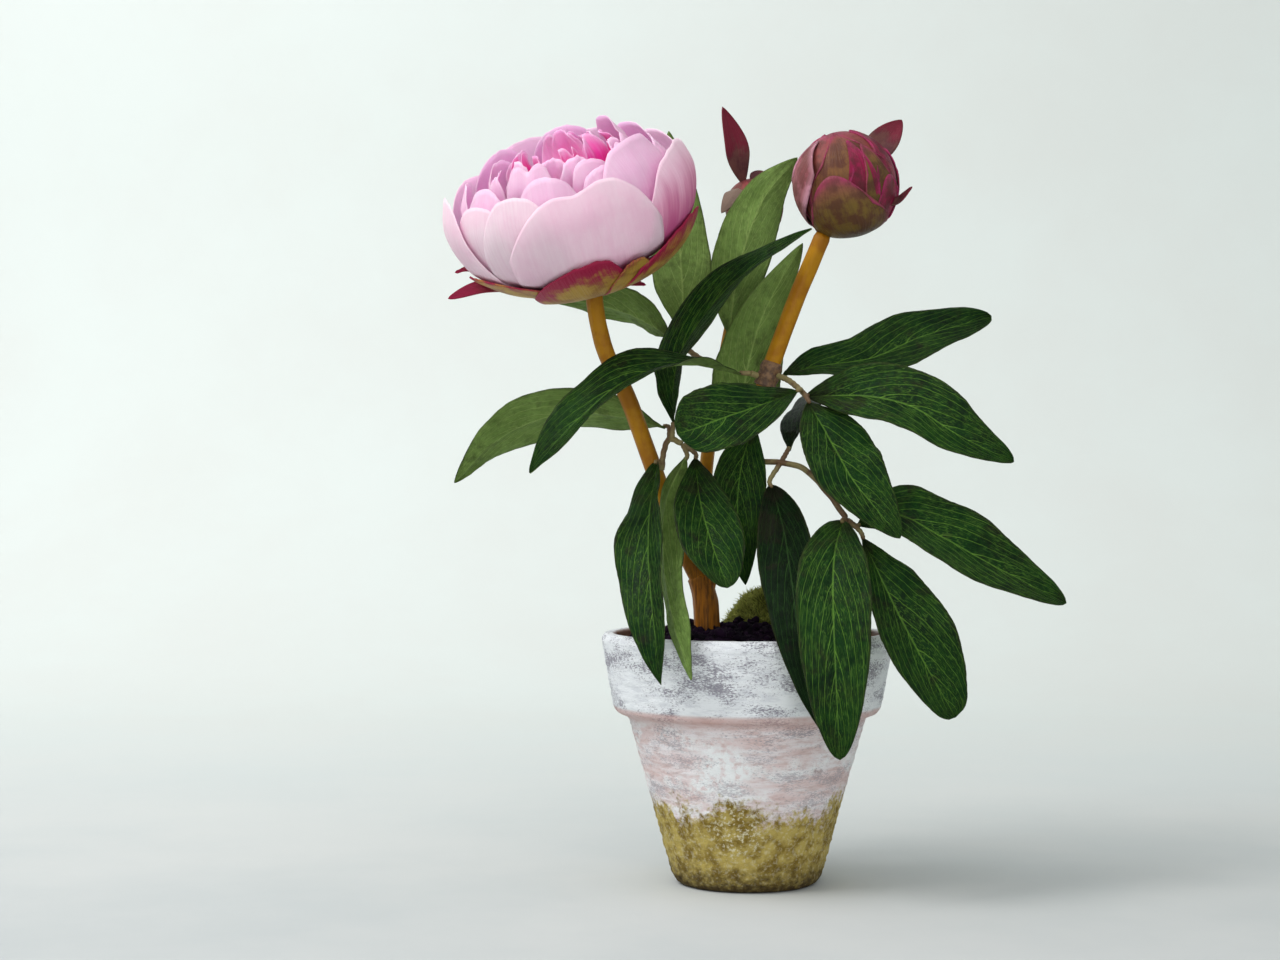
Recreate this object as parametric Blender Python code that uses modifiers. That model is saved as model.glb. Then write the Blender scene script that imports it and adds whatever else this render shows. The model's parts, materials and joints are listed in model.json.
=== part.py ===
"""A peony in an aged clay pot: an open double bloom, a fat bud, a smaller bud behind, long drooping leaves.

Metres, +Z up. The origin lies on the pot's axis at the level of its foot, and the plant faces -Y.
Lengths below are written in millimetres and times MM.
"""

import math
import random

import bmesh
import bpy
from mathutils import Matrix, Vector

MM = 0.001
GAP = 0.3  # clear space between touching pieces

# The clay pot, as (radius, height) from the foot up
POT_FOOT_RADIUS = 28.5
POT_FOOT_ROUND = 4.5
POT_BODY_TOP = (51.0, 71.5)
POT_BAND_BOTTOM = (57.4, 76.0)
POT_RIM_RADIUS = 62.5
POT_HEIGHT = 106.5
POT_WALL = 6.5
POT_FLOOR = 8.0
POT_DRAIN_RADIUS = 8.0
POT_STEPS = 36

# The potting soil and the moss on it
SOIL_TOP = 109.5
SOIL_EDGE_TOP = 102.0
SOIL_LUMPS = 1.3
SOIL_STEPS = 28
MOSS_CENTRE = (15.0, 25.0)
MOSS_RADIUS = (25.0, 19.0)
MOSS_SEAT = 103.5
MOSS_TOP = 128.0
MOSS_TUFTS = 30
TUFT_RADII = (1.5, 0.35)

# The stems, each a route of (x, y, z)
TRUNK_ROUTE = [(-17.5, -3, 72), (-17.5, -3, 112), (-18.5, -3, 124), (-21, -3, 132)]
TRUNK_RADIUS = 5.7
BLOOM_STEM_ROUTE = [
    (-19, -3, 126), (-28, -5, 145), (-40, -7, 177), (-51, -9, 207), (-59.5, -10, 224.5),
    (-63.3, -10.2, 237), (-65.1, -11, 248), (-65.4, -12.3, 254.4),
]
BUD_STEM_ROUTE = [(-18, -3, 124), (-13, -4, 150), (-4, -5, 178), (8, -7, 215),
    (20, -9, 248), (32.6, -12.5, 278.5)]
BACK_STEM_ROUTE = [(-20, -1, 126), (-19, 5, 148), (-16, 12, 188), (-7.5, 21, 232),
    (0, 31, 266), (2.9, 35.9, 280.7)]
STEM_RADIUS = 3.6
BACK_STEM_RADIUS = 2.9
CUFF_ROUTE = [(7, -6.8, 212), (10.8, -7.5, 223.5)]
CUFF_RADIUS = 4.7

# The open bloom
BLOOM_BASE = (-66.5, -14.0, 259.5)
BLOOM_AXIS = (-0.26, -0.36, 0.90)
PETAL_THICKNESS = 0.8

# The two buds
BUD_CENTRE = (41.5, -14.0, 298.0)
BUD_AXIS = (-0.30, -0.25, 0.92)
BUD_RADIUS = 20.6
BUD_LENGTH = 1.09
BACK_BUD_CENTRE = (4.5, 38.5, 294.0)
BACK_BUD_AXIS = (-0.20, -0.10, 0.97)
BACK_BUD_RADIUS = 12.5
BACK_BUD_LENGTH = 1.06

# The leaves. The midrib runs base to tip, the halves are the widths on its two sides, and the faces are the
# ways the upper side looks at the base and at the tip.
LEAF_THICKNESS = 0.8
LEAF_ALONG = 9
LEAF_ACROSS = 4
LEAVES = {
    "leaf_left_long": dict(
        midrib=[(-35, -2, 195.5), (-55, 8, 200.5), (-82.5, 14, 201.5),
            (-108.5, 16, 190), (-127, 15, 171.5)],
        halves=(16, 13), faces=[(0, 0.65, 0.75), (-0.3, 0.65, 0.65)], fold=0.16, wave=0.10, belly=0.5),
    "leaf_left_front": dict(
        midrib=[(-2.5, -13, 218), (-25, -30, 221), (-50.5, -42, 214.5),
            (-72.5, -48, 196.5), (-91, -50, 175.5)],
        halves=(12, 11), faces=[(0, -0.15, 1), (-0.5, -0.8, 0.3)], fold=0.35, wave=0.08, belly=0.56),
    "leaf_under_bloom": dict(
        midrib=[(-31.5, 26, 235.5), (-46, 33, 244.5), (-66, 40, 251.5), (-99, 45, 256)],
        halves=(13, 13), faces=[(0, 0.6, 0.8), (0, 0.6, 0.8)], fold=0.18, wave=0.08, belly=0.45),
    "leaf_behind_bloom": dict(
        midrib=[(-28, 26, 238), (-27, 31, 254.5), (-28, 38, 273), (-30, 45, 300.5), (-34, 49, 327)],
        halves=(13.5, 13.5), faces=[(0.2, 0.95, 0.2), (-0.1, 0.9, 0.3)], fold=0.16, wave=0.08, belly=0.42),
    "leaf_crown_back": dict(
        midrib=[(-6.5, 17.8, 234.5), (-5, 19, 252), (-1, 19, 272), (8, 17, 295.5), (22.5, 13, 313)],
        halves=(13, 12.5), faces=[(0.1, 0.95, 0.1), (0.2, 0.9, 0.3)], fold=0.14, wave=0.06, belly=0.5),
    "leaf_crown_low": dict(
        midrib=[(0, -1.7, 193), (-1, 3, 209.5), (1.5, 4, 225.5), (8.5, 3, 247), (24, 1, 274.5)],
        halves=(15, 15), faces=[(0, 0.95, 0.1), (0.3, 0.9, 0.2)], fold=0.16, wave=0.06, belly=0.36,
        base=0.8),
    "leaf_crown_front": dict(
        midrib=[(-32, -9, 196), (-32, -10, 213), (-27.5, -11, 230), (-6, -16, 257), (26, -24, 278)],
        halves=(12, 12), faces=[(-0.8, -0.6, 0.1), (-0.55, -0.5, 0.6)], fold=0.24, wave=0.08, belly=0.55),
    "leaf_centre_front": dict(
        midrib=[(20, -31.5, 210), (5, -47, 204), (-11.5, -60, 198), (-23, -68, 193.5), (-31, -72, 191)],
        halves=(14.5, 14.5), faces=[(0.45, -0.6, 0.6), (0.45, -0.75, 0.5)], fold=0.12, wave=0.10, belly=0.6,
        tip=0.42),
    "leaf_left_down": dict(
        midrib=[(-39, -12, 180.5), (-42, -30, 160), (-42.5, -46, 139),
            (-40.5, -58, 116), (-37.5, -67, 90.5)],
        halves=(13, 9), faces=[(-0.6, -0.7, 0.3), (-0.5, -0.85, 0.1)], fold=0.30, wave=0.12,
        belly=0.5, base=0.6),
    "leaf_left_narrow": dict(
        midrib=[(-26.5, -15, 182), (-34.5, -23, 164), (-36, -38, 139.5),
            (-32.5, -56.5, 116), (-25.5, -67.5, 92.5)],
        halves=(9, 9), faces=[(0.7, 0.2, 0.6), (0.8, 0.5, 0.2)], fold=0.25, wave=0.06, belly=0.5),
    "leaf_middle_down": dict(
        midrib=[(-22.5, -15, 182.5), (-21, -30, 164.5), (-16.5, -46, 146.5), (-10.5, -58, 129)],
        halves=(13.5, 13.5), faces=[(0, -0.8, 0.5), (0.15, -0.85, 0.4)], fold=0.15, wave=0.08, belly=0.58,
        tip=0.5),
    "leaf_middle_back": dict(
        midrib=[(2.75, -10.05, 197), (-3, -17, 179), (-5, -23, 158), (-2, -31, 129)],
        halves=(11.5, 11.5), faces=[(0.1, -0.95, 0.2), (0.1, -0.95, 0.2)], fold=0.2, wave=0.08, belly=0.5),
    "leaf_right_back": dict(
        midrib=[(14.1, -6.3, 217), (29, -1, 221.5), (53.5, 6, 225.5), (78, 13, 233.5), (108, 20, 241.5)],
        halves=(14, 14), faces=[(0, -0.6, 0.8), (0.1, -0.75, 0.6)], fold=0.12, wave=0.06,
        belly=0.62, tip=0.5),
    "leaf_right_front": dict(
        midrib=[(23.5, -27, 208), (45, -38, 207.5), (65, -45, 203), (85, -49, 190.5), (106.5, -50, 180)],
        halves=(13, 16), faces=[(0, -0.85, 0.5), (0.15, -0.9, 0.4)], fold=0.14, wave=0.08,
        belly=0.42, base=0.7),
    "leaf_right_down": dict(
        midrib=[(24, -33, 205.5), (32.5, -44, 188.5), (41, -52, 172.5), (59, -60, 149)],
        halves=(16, 16), faces=[(0.2, -0.8, 0.5), (0.2, -0.9, 0.3)], fold=0.12, wave=0.06, belly=0.48),
    "leaf_low_shaded": dict(
        midrib=[(9, -25, 170.5), (13, -42, 152.5), (15.5, -56, 132), (18.5, -69, 104.5), (27, -73, 71)],
        halves=(12, 12), faces=[(-0.35, -0.9, 0.3), (-0.5, -0.85, 0.1)], fold=0.2, wave=0.06,
        belly=0.4, base=0.7),
    "leaf_low_front": dict(
        midrib=[(37, -47, 156), (32.5, -61, 142.5), (31, -72, 124.5), (31.5, -79, 93.5), (33, -80, 62)],
        halves=(15, 15), faces=[(0, -0.85, 0.5), (0, -0.98, 0.15)], fold=0.12, wave=0.06,
        belly=0.45, base=0.6),
    "leaf_low_right": dict(
        midrib=[(45, -48, 149.5), (52, -54, 133), (60, -56, 116), (70.5, -55, 96.5), (82.5, -52, 76)],
        halves=(13.5, 18), faces=[(0.2, -0.85, 0.4), (0.25, -0.9, 0.2)], fold=0.12, wave=0.08, belly=0.58,
        tip=0.42),
    "leaf_far_right": dict(
        midrib=[(43.5, -43, 154), (60, -46, 158), (77.5, -46, 149.5), (102, -42, 136), (130.5, -36, 121.5)],
        halves=(14, 17), faces=[(0.1, -0.75, 0.6), (0.25, -0.8, 0.5)], fold=0.12, wave=0.08, belly=0.5),
    "leaf_right_hidden": dict(
        midrib=[(16.5, -18, 185.5), (22, -6, 196), (31.5, 12, 206), (42, 45, 211), (50, 80, 208)],
        halves=(12, 12), faces=[(-0.7, -0.3, 0.6), (-0.2, -0.3, 0.95)], fold=0.16, wave=0.08, belly=0.5),
}

# The leaf stalks: each route runs from a stem to the knot where its leaves meet, and a twig joins the knot
# to each leaf that starts further out.
STALK_RADIUS = 1.25
TWIG_TAPER = (0.85, 0.8, 0.6)
STALKS = {
    "stalk_left": dict(
        route=[(-36.7, -11.1, 176.5), (-36, -9.5, 184), (-33.5, -7.5, 190), (-28, -12, 188)],
        leaves=[
            "leaf_left_long", "leaf_crown_front", "leaf_left_down", "leaf_left_narrow", "leaf_middle_down",
        ]),
    "stalk_upper_left": dict(
        route=[(-13.05, 19.65, 222.8), (-18, 22, 225), (-25, 25, 230)],
        leaves=["leaf_under_bloom", "leaf_behind_bloom"]),
    "stalk_front": dict(
        route=[(4.1, -9.65, 217), (1, -11.5, 218)],
        leaves=["leaf_left_front"]),
    "stalk_right": dict(
        route=[(12.45, -10.95, 217), (17, -18, 214.5), (21.5, -26, 210)],
        leaves=["leaf_right_front", "leaf_right_down", "leaf_centre_front"]),
    "stalk_lower_right": dict(
        route=[(-0.8, -9.1, 180), (6, -14, 180.5), (21, -28, 178), (31, -38, 168), (39, -44, 156.5)],
        leaves=[
            "leaf_low_shaded", "leaf_right_hidden", "leaf_low_front", "leaf_low_right", "leaf_far_right",
        ]),
}


def smooth_point(points, t):
    """The point at share t of a Catmull-Rom curve through the points, the ends carried on straight."""
    knots = [Vector(p) for p in points]
    knots = [2 * knots[0] - knots[1], *knots, 2 * knots[-1] - knots[-2]]
    spans = len(points) - 1
    span = min(int(t * spans), spans - 1)
    x = t * spans - span
    a, b, c, d = knots[span : span + 4]
    return 0.5 * (2 * b + (c - a) * x + (2 * a - 5 * b + 4 * c - d) * x**2 + (3 * b - a - 3 * c + d) * x**3)


def smooth_route(points, count):
    return [smooth_point(points, i / (count - 1)) for i in range(count)]


def new_object(name, mesh, collection, material=None):
    obj = bpy.data.objects.new(name, mesh)
    collection.objects.link(obj)
    if material:
        mesh.materials.append(material)
    return obj


def principled(name, colour, roughness, metallic=0.0):
    material = bpy.data.materials.new(name)
    material.use_nodes = True
    shader = material.node_tree.nodes["Principled BSDF"]
    shader.inputs["Base Color"].default_value = (*colour, 1.0)
    shader.inputs["Roughness"].default_value = roughness
    shader.inputs["Metallic"].default_value = metallic
    material.diffuse_color = (*colour, 1.0)
    return material


def apply_modifiers(obj):
    """Turns the object's modifiers into its mesh."""
    graph = bpy.context.evaluated_depsgraph_get()
    mesh = bpy.data.meshes.new_from_object(obj.evaluated_get(graph))
    obj.modifiers.clear()
    old, obj.data = obj.data, mesh
    bpy.data.meshes.remove(old)


def blade(name, surface, across, along, thickness, collection, material=None):
    """A thin solid over a grid: surface(u, v) is in millimetres, u from -1 to 1 and v from 0 to 1."""
    bm = bmesh.new()
    bmesh.ops.create_grid(bm, x_segments=across, y_segments=along, size=1.0)
    for vert in bm.verts:
        vert.co = Vector(surface(vert.co.x, (vert.co.y + 1) / 2)) * MM
    bmesh.ops.triangulate(bm, faces=bm.faces[:], quad_method="SHORT_EDGE")
    mesh = bpy.data.meshes.new(name)
    bm.to_mesh(mesh)
    bm.free()
    mesh.shade_smooth()
    obj = new_object(name, mesh, collection, material)
    solid = obj.modifiers.new("Thickness", "SOLIDIFY")
    solid.thickness = thickness * MM
    solid.offset = 0.0
    return obj


def tube(name, route, radii, collection, bevel_resolution=2):
    """A round bar along a smooth route in millimetres, as a closed mesh whose caps are welded on."""
    curve = bpy.data.curves.new(name, "CURVE")
    curve.dimensions = "3D"
    curve.bevel_depth = MM
    curve.bevel_resolution = bevel_resolution
    curve.use_fill_caps = True
    spline = curve.splines.new("POLY")
    spline.points.add(len(route) - 1)
    for point, place, radius in zip(spline.points, route, radii):
        point.co = (*(Vector(place) * MM), 1.0)
        point.radius = radius
    guide = bpy.data.objects.new(name + "_guide", curve)
    collection.objects.link(guide)
    graph = bpy.context.evaluated_depsgraph_get()
    mesh = bpy.data.meshes.new_from_object(guide.evaluated_get(graph))
    bpy.data.objects.remove(guide)
    bm = bmesh.new()
    bm.from_mesh(mesh)
    bmesh.ops.remove_doubles(bm, verts=bm.verts[:], dist=1e-6)
    bmesh.ops.triangulate(bm, faces=bm.faces[:])
    bm.to_mesh(mesh)
    bm.free()
    mesh.name = name
    return new_object(name, mesh, collection)


def turned(name, profile, steps, collection):
    """A solid of revolution about Z, its profile (radius, height) in millimetres, down the outer side."""
    mesh = bpy.data.meshes.new(name)
    points = [(radius * MM, 0.0, height * MM) for radius, height in profile]
    mesh.from_pydata(points, [(i, i + 1) for i in range(len(points) - 1)], [])
    obj = new_object(name, mesh, collection)
    screw = obj.modifiers.new("Turn", "SCREW")
    screw.steps = screw.render_steps = steps
    screw.use_merge_vertices = True
    screw.merge_threshold = 1e-5
    return obj


def join_all(base, pieces_collection):
    """One Boolean union of the base with every object in the collection, which is then emptied."""
    union = base.modifiers.new("Join", "BOOLEAN")
    union.operation = "UNION"
    union.operand_type = "COLLECTION"
    union.collection = pieces_collection
    apply_modifiers(base)
    for piece in list(pieces_collection.objects):
        bpy.data.objects.remove(piece)
    fill_hollows(base)


def fill_hollows(obj):
    """Keeps the outer skin of a joined solid and drops the skins of pockets sealed inside it."""
    bm = bmesh.new()
    bm.from_mesh(obj.data)
    waiting = set(bm.verts)
    skins = []
    while waiting:
        skin, edge = set(), [waiting.pop()]
        while edge:
            vert = edge.pop()
            skin.add(vert)
            near = {e.other_vert(vert) for e in vert.link_edges} & waiting
            waiting -= near
            edge.extend(near)
        skins.append(skin)
    outer = max(skins, key=len)
    bmesh.ops.delete(bm, geom=[v for skin in skins if skin is not outer for v in skin], context="VERTS")
    bmesh.ops.triangulate(bm, faces=bm.faces[:])
    bm.to_mesh(obj.data)
    bm.free()


def cut_away(target, cutter):
    """Cuts the cutter's solid out of the target and keeps the cutter as a hidden helper."""
    cut = target.modifiers.new("Cut " + cutter.name, "BOOLEAN")
    cut.operation = "DIFFERENCE"
    cut.object = cutter
    cutter.hide_render = True
    cutter.display_type = "WIRE"


def finish(obj, material):
    """Gives the finished piece its one material and smooth shading."""
    obj.data.materials.clear()
    obj.data.materials.append(material)
    obj.data.shade_smooth()
    obj.data.set_sharp_from_angle(angle=math.radians(40))
    return obj


def axis_frame(origin, axis):
    """The matrix that stands local +Z on the axis at the origin, with local -Y kept towards the front."""
    up = Vector(axis).normalized()
    front = Vector((0, -1, 0))
    front = (front - front.dot(up) * up).normalized()
    right = up.cross(front)
    return Matrix.Translation(Vector(origin)) @ Matrix((right, -front, up)).transposed().to_4x4()


# The leaves


def leaf_outline(t, belly, base, tip):
    """A half's width at share t of the leaf's length, as a share of its greatest width, at the belly."""
    if t < belly:
        return math.sin(math.pi / 2 * t / belly) ** base
    return math.cos(math.pi / 2 * (t - belly) / (1 - belly)) ** tip


def leaf_surface(midrib, halves, faces, fold, wave, belly=0.5, base=1.0, tip=0.8):
    """The leaf's middle surface: a folded, waved strip hung on its midrib."""
    stalk_half, step = 0.7, 0.01

    def surface(u, v):
        t = v - math.sin(2 * math.pi * v) / 20
        place = smooth_point(midrib, t)
        ahead = smooth_point(midrib, min(1.0, t + step)) - smooth_point(midrib, max(0.0, t - step))
        ahead.normalize()
        side = ahead.cross(Vector(faces[0]).lerp(Vector(faces[1]), t)).normalized()
        up = side.cross(ahead)
        full = halves[0] if u > 0 else halves[1]
        half = max(stalk_half, full * leaf_outline(min(t, 1.0), belly, base, tip))
        lift = fold * abs(u) * half + wave * half * u * u * math.sin(14.5 * t + 1.7 * u)
        return place + side * (u * half) + up * lift

    return surface


def make_leaf(name, spec, collection, material):
    return blade(name, leaf_surface(**spec), LEAF_ACROSS, LEAF_ALONG, LEAF_THICKNESS, collection, material)


def make_stalk(name, spec, collection, scratch, material):
    """A leaf stalk with its twigs, each from the nearest point of the stalk to just short of its leaf."""
    route = smooth_route(spec["route"], 2 * len(spec["route"]) - 1)
    stalk = tube(name, route, [STALK_RADIUS] * len(route), collection, 1)
    for leaf in spec["leaves"]:
        base, beyond = (Vector(p) for p in LEAVES[leaf]["midrib"][:2])
        ahead = (beyond - base).normalized()
        end = base - ahead * (GAP + 0.1)
        start = min(route, key=lambda p: (p - end).length)
        if (end - start).length < STALK_RADIUS:
            continue
        bend = end - ahead * 0.35 * (end - start).length
        radii = [STALK_RADIUS * share for share in TWIG_TAPER]
        tube(f"{name}_{leaf}", [start, bend, end], radii, scratch, 1)
    join_all(stalk, scratch)
    return finish(stalk, material)


# The stems


def make_stems(collection, scratch, material):
    """The trunk, its three stems and the cuff that holds the upper leaves, all one moulding."""
    trunk = smooth_route(TRUNK_ROUTE, 5)
    stems = tube("stems", trunk, [TRUNK_RADIUS] * 4 + [0.85 * TRUNK_RADIUS], collection, 3)
    for name, route, radius, count in (
        ("bloom_stem", BLOOM_STEM_ROUTE, STEM_RADIUS, 10),
        ("bud_stem", BUD_STEM_ROUTE, STEM_RADIUS, 9),
        ("back_stem", BACK_STEM_ROUTE, BACK_STEM_RADIUS, 9),
        ("cuff", CUFF_ROUTE, CUFF_RADIUS, 2),
    ):
        tube(name, smooth_route(route, count), [radius] * count, scratch, 2)
    join_all(stems, scratch)
    return finish(stems, material)


# The pot, the soil and the moss


def make_pot(collection, material):
    inner_top = POT_RIM_RADIUS - POT_WALL
    foot_corner = [
        (
            POT_FOOT_RADIUS + POT_FOOT_ROUND * math.sin(angle) * 0.8,
            POT_FOOT_ROUND * (1 - math.cos(angle)),
        )
        for angle in (math.radians(a) for a in (80, 50, 20, 0))
    ]
    profile = [
        (inner_top, POT_HEIGHT),
        (inner_top + 1.2, POT_HEIGHT + 0.6),
        (POT_RIM_RADIUS - 1.5, POT_HEIGHT + 0.6),
        (POT_RIM_RADIUS, POT_HEIGHT - 1.0),
        POT_BAND_BOTTOM,
        (POT_BAND_BOTTOM[0] - 1.2, POT_BAND_BOTTOM[1] - 2.4),
        POT_BODY_TOP,
        *foot_corner,
        (POT_DRAIN_RADIUS, 0.0),
        (POT_DRAIN_RADIUS, POT_FLOOR),
        (POT_FOOT_RADIUS - 1.0, POT_FLOOR),
        (POT_BODY_TOP[0] - POT_WALL, POT_BODY_TOP[1]),
        (inner_top, POT_HEIGHT),
    ]
    pot = turned("pot", profile, POT_STEPS, collection)
    apply_modifiers(pot)
    return finish(pot, material)


def pot_inside(height):
    """The pot's inner radius at a height above its floor."""
    low = (POT_FOOT_RADIUS - 1.0, POT_FLOOR)
    middle = (POT_BODY_TOP[0] - POT_WALL, POT_BODY_TOP[1])
    high = (POT_RIM_RADIUS - POT_WALL, POT_HEIGHT)
    (r0, z0), (r1, z1) = (low, middle) if height < middle[1] else (middle, high)
    return r0 + (r1 - r0) * (height - z0) / (z1 - z0)


def soil_height(x, y):
    """The soil's lumpy domed surface, in millimetres."""
    share = min(1.0, math.hypot(x, y) / pot_inside(SOIL_EDGE_TOP))
    dome = SOIL_TOP - (SOIL_TOP - SOIL_EDGE_TOP) * share**2
    lumps = math.sin(0.41 * x + 1.3) * math.cos(0.37 * y) + 0.6 * math.sin(0.83 * x - 0.71 * y)
    return dome + SOIL_LUMPS * lumps * (1 - share**6)


def make_soil(collection, cutters, material):
    floor = POT_FLOOR + GAP
    rings = [0.0, 9.0, 18.0, 27.0, 36.0, 45.0]
    edge = pot_inside(SOIL_EDGE_TOP) - 2 * GAP
    middle = (POT_BODY_TOP[0] - POT_WALL - 2 * GAP, POT_BODY_TOP[1])
    profile = [(r, SOIL_TOP) for r in rings] + [(edge, SOIL_EDGE_TOP), middle]
    profile += [(pot_inside(floor) - 2 * GAP, floor), (0.0, floor)]
    soil = turned("soil", profile, SOIL_STEPS, collection)
    apply_modifiers(soil)
    for vert in soil.data.vertices:
        if vert.co.z > (SOIL_EDGE_TOP - 1) * MM:
            vert.co.z = soil_height(vert.co.x / MM, vert.co.y / MM) * MM
    x, y, _ = TRUNK_ROUTE[0]
    bpy.ops.mesh.primitive_cylinder_add(
        vertices=16,
        radius=(TRUNK_RADIUS + 2 * GAP) * MM,
        depth=80 * MM,
        location=(x * MM, y * MM, (TRUNK_ROUTE[0][2] - GAP + 40) * MM),
    )
    hole = bpy.context.object
    hole.name = "stem_hole_cutter"
    bpy.ops.mesh.primitive_cylinder_add(
        vertices=24,
        radius=1.0,
        depth=40 * MM,
        location=(MOSS_CENTRE[0] * MM, MOSS_CENTRE[1] * MM, (MOSS_SEAT + 20) * MM),
    )
    seat = bpy.context.object
    seat.name = "moss_seat_cutter"
    seat.scale = ((MOSS_RADIUS[0] + GAP) * MM, (MOSS_RADIUS[1] + GAP) * MM, 1.0)
    for cutter in (hole, seat):
        for home in list(cutter.users_collection):
            home.objects.unlink(cutter)
        cutters.objects.link(cutter)
        cut_away(soil, cutter)
    return finish(soil, material)


def make_moss(collection, scratch, material):
    """A cushion of moss: a lumpy dome with short three-sided tufts standing out of it."""
    bm = bmesh.new()
    bmesh.ops.create_uvsphere(bm, u_segments=16, v_segments=10, radius=1.0)
    bmesh.ops.bisect_plane(
        bm,
        geom=bm.verts[:] + bm.edges[:] + bm.faces[:],
        plane_co=(0, 0, 0),
        plane_no=(0, 0, -1),
        clear_outer=True,
    )
    bmesh.ops.holes_fill(bm, edges=[e for e in bm.edges if e.is_boundary])
    bottom = MOSS_SEAT + GAP
    height = MOSS_TOP - bottom - 3

    def dome(direction, reach=1.0):
        lump = 1 + 0.06 * math.sin(5 * direction.x + 3 * direction.y) * direction.z
        return Vector(
            (
                MOSS_CENTRE[0] + direction.x * (MOSS_RADIUS[0] - 2) * lump * reach,
                MOSS_CENTRE[1] + direction.y * (MOSS_RADIUS[1] - 2) * lump * reach,
                bottom + max(0.0, direction.z) * height * lump * reach,
            )
        )

    for vert in bm.verts:
        vert.co = dome(vert.co.copy()) * MM
    mesh = bpy.data.meshes.new("moss")
    bm.to_mesh(mesh)
    bm.free()
    moss = new_object("moss", mesh, collection)
    draw = random.Random(11)
    golden = math.pi * (3 - math.sqrt(5))
    for number in range(MOSS_TUFTS):
        rise = 0.12 + 0.86 * (number + 0.5) / MOSS_TUFTS
        turn = number * golden
        flat = math.sqrt(1 - rise * rise)
        out = Vector((flat * math.cos(turn), flat * math.sin(turn), rise))
        foot = dome(out, 0.86)
        lean = Vector((draw.uniform(-0.25, 0.25), draw.uniform(-0.25, 0.25), 0.35))
        tip = dome(out, 1.0) + (out + lean).normalized() * draw.uniform(3.0, 4.6)
        tuft_mesh = bpy.data.meshes.new("tuft")
        tuft = bmesh.new()
        root, point = (radius * MM for radius in TUFT_RADII)
        bmesh.ops.create_cone(tuft, cap_ends=True, segments=3, radius1=root, radius2=point, depth=1.0)
        heading = (tip - foot).to_track_quat("Z", "Y").to_matrix().to_4x4()
        stretch = Matrix.Diagonal((1, 1, (tip - foot).length * MM, 1))
        tuft.transform(Matrix.Translation((foot + tip) / 2 * MM) @ heading @ stretch)
        tuft.to_mesh(tuft_mesh)
        tuft.free()
        new_object(f"tuft_{number}", tuft_mesh, scratch)
    join_all(moss, scratch)
    return finish(moss, material)


# The bloom


def petal_surface(
    frame, azimuth, line, width, reach=1.0, out=0.0, root=0.6, flat=1.0, drop=0.42, notch=0.0, ruffle=0.0,
    phase=0.0,
):
    """A cupped petal, azimuth degrees round the bloom from its front.

    line is its centre line as (distance from the axis, height), base to tip, and reach the share of it that
    the petal covers. out moves the petal away from the axis, root is its width at the base as a share, flat
    opens its cup, drop rounds its top, notch nicks it and ruffle waves its edge.
    """
    turn = math.radians(azimuth)
    outward = Vector((math.sin(turn), -math.cos(turn), 0))
    across = Vector((math.cos(turn), math.sin(turn), 0))
    centre = [(r, 0.0, z) for r, z in line]

    def surface(u, q):
        v = q * (1 - drop * abs(u) ** 2.8 - notch * math.exp(-((u / 0.16) ** 2)))
        r, _, z = smooth_point(centre, v * reach)
        r += out * min(1.0, 2 * v)
        side = u * width / 2 * (root + (1 - root) * math.sin(min(1.0, v / 0.72) * math.pi / 2))
        bend = flat * max(r, 6.0)
        wave = ruffle * math.sin(1.5 * math.pi * u + phase) * v**2.2
        distance = r - bend * (1 - math.cos(side / bend)) + wave
        return frame @ (outward * distance + across * (bend * math.sin(side / bend)) + Vector((0, 0, z)))

    return surface


def petal_core(name, frame, radii, bottom, top, collection):
    """The dish that a ring of petals grows from, its radii at the bottom and at the top."""
    bm = bmesh.new()
    middle = Matrix.Translation((0, 0, (bottom + top) / 2))
    bmesh.ops.create_cone(
        bm,
        cap_ends=True,
        segments=16,
        radius1=radii[0],
        radius2=radii[1],
        depth=top - bottom,
        matrix=middle,
    )
    bm.transform(Matrix.Scale(MM, 4) @ frame)
    mesh = bpy.data.meshes.new(name)
    bm.to_mesh(mesh)
    bm.free()
    return new_object(name, mesh, collection)


def add_blades(core, surfaces, across, along, thickness, scratch):
    """Makes a blade for each surface, ready to be joined to the core."""
    for surface in surfaces:
        apply_modifiers(blade(core.name + "_blade", surface, across, along, thickness, scratch))


def grow(core, scratch, material):
    """Joins the blades made so far to the core, as one solid."""
    join_all(core, scratch)
    return finish(core, material)


# Heights where one part of the bloom sits on the next, above the top of its calyx
GUARD_SEAT, INNER_SEAT, HEART_SEAT, HEART_TOP = 0.0, 6.5, 15.5, 27.0

GUARD_FACET = 16.0
GUARD_LINE = [(22, 3.5), (36, 8.5), (48, 18), (53, 34), (50, 49), (44, 62)]
GUARD_PETALS = [
    dict(azimuth=7, width=80, out=1.8, reach=0.82, notch=0.05, drop=0.34),
    dict(azimuth=-36, width=46, out=0.4, reach=0.80),
    dict(azimuth=-63, width=42, out=-1.0, reach=0.76),
    dict(azimuth=-93, width=50, out=0.9, reach=0.74),
    dict(azimuth=-132, width=54, out=-0.8, reach=0.86),
    dict(azimuth=-168, width=54, out=0.9, reach=0.88),
    dict(azimuth=156, width=54, out=-0.8, reach=0.85),
    dict(azimuth=122, width=52, out=0.9, reach=0.73),
    dict(azimuth=92, width=44, out=-0.8, reach=0.73),
    dict(azimuth=54, width=52, out=0.6, reach=0.86),
]
MIDDLE_RING = dict(line=[(18, 11), (31, 15), (41, 24), (46, 39), (42, 55)], count=8, width=42, start=-14)
INNER_RING = dict(line=[(14, 13), (23, 20), (30, 31), (33, 44), (28, 58)], count=6, width=32, start=10)
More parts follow.
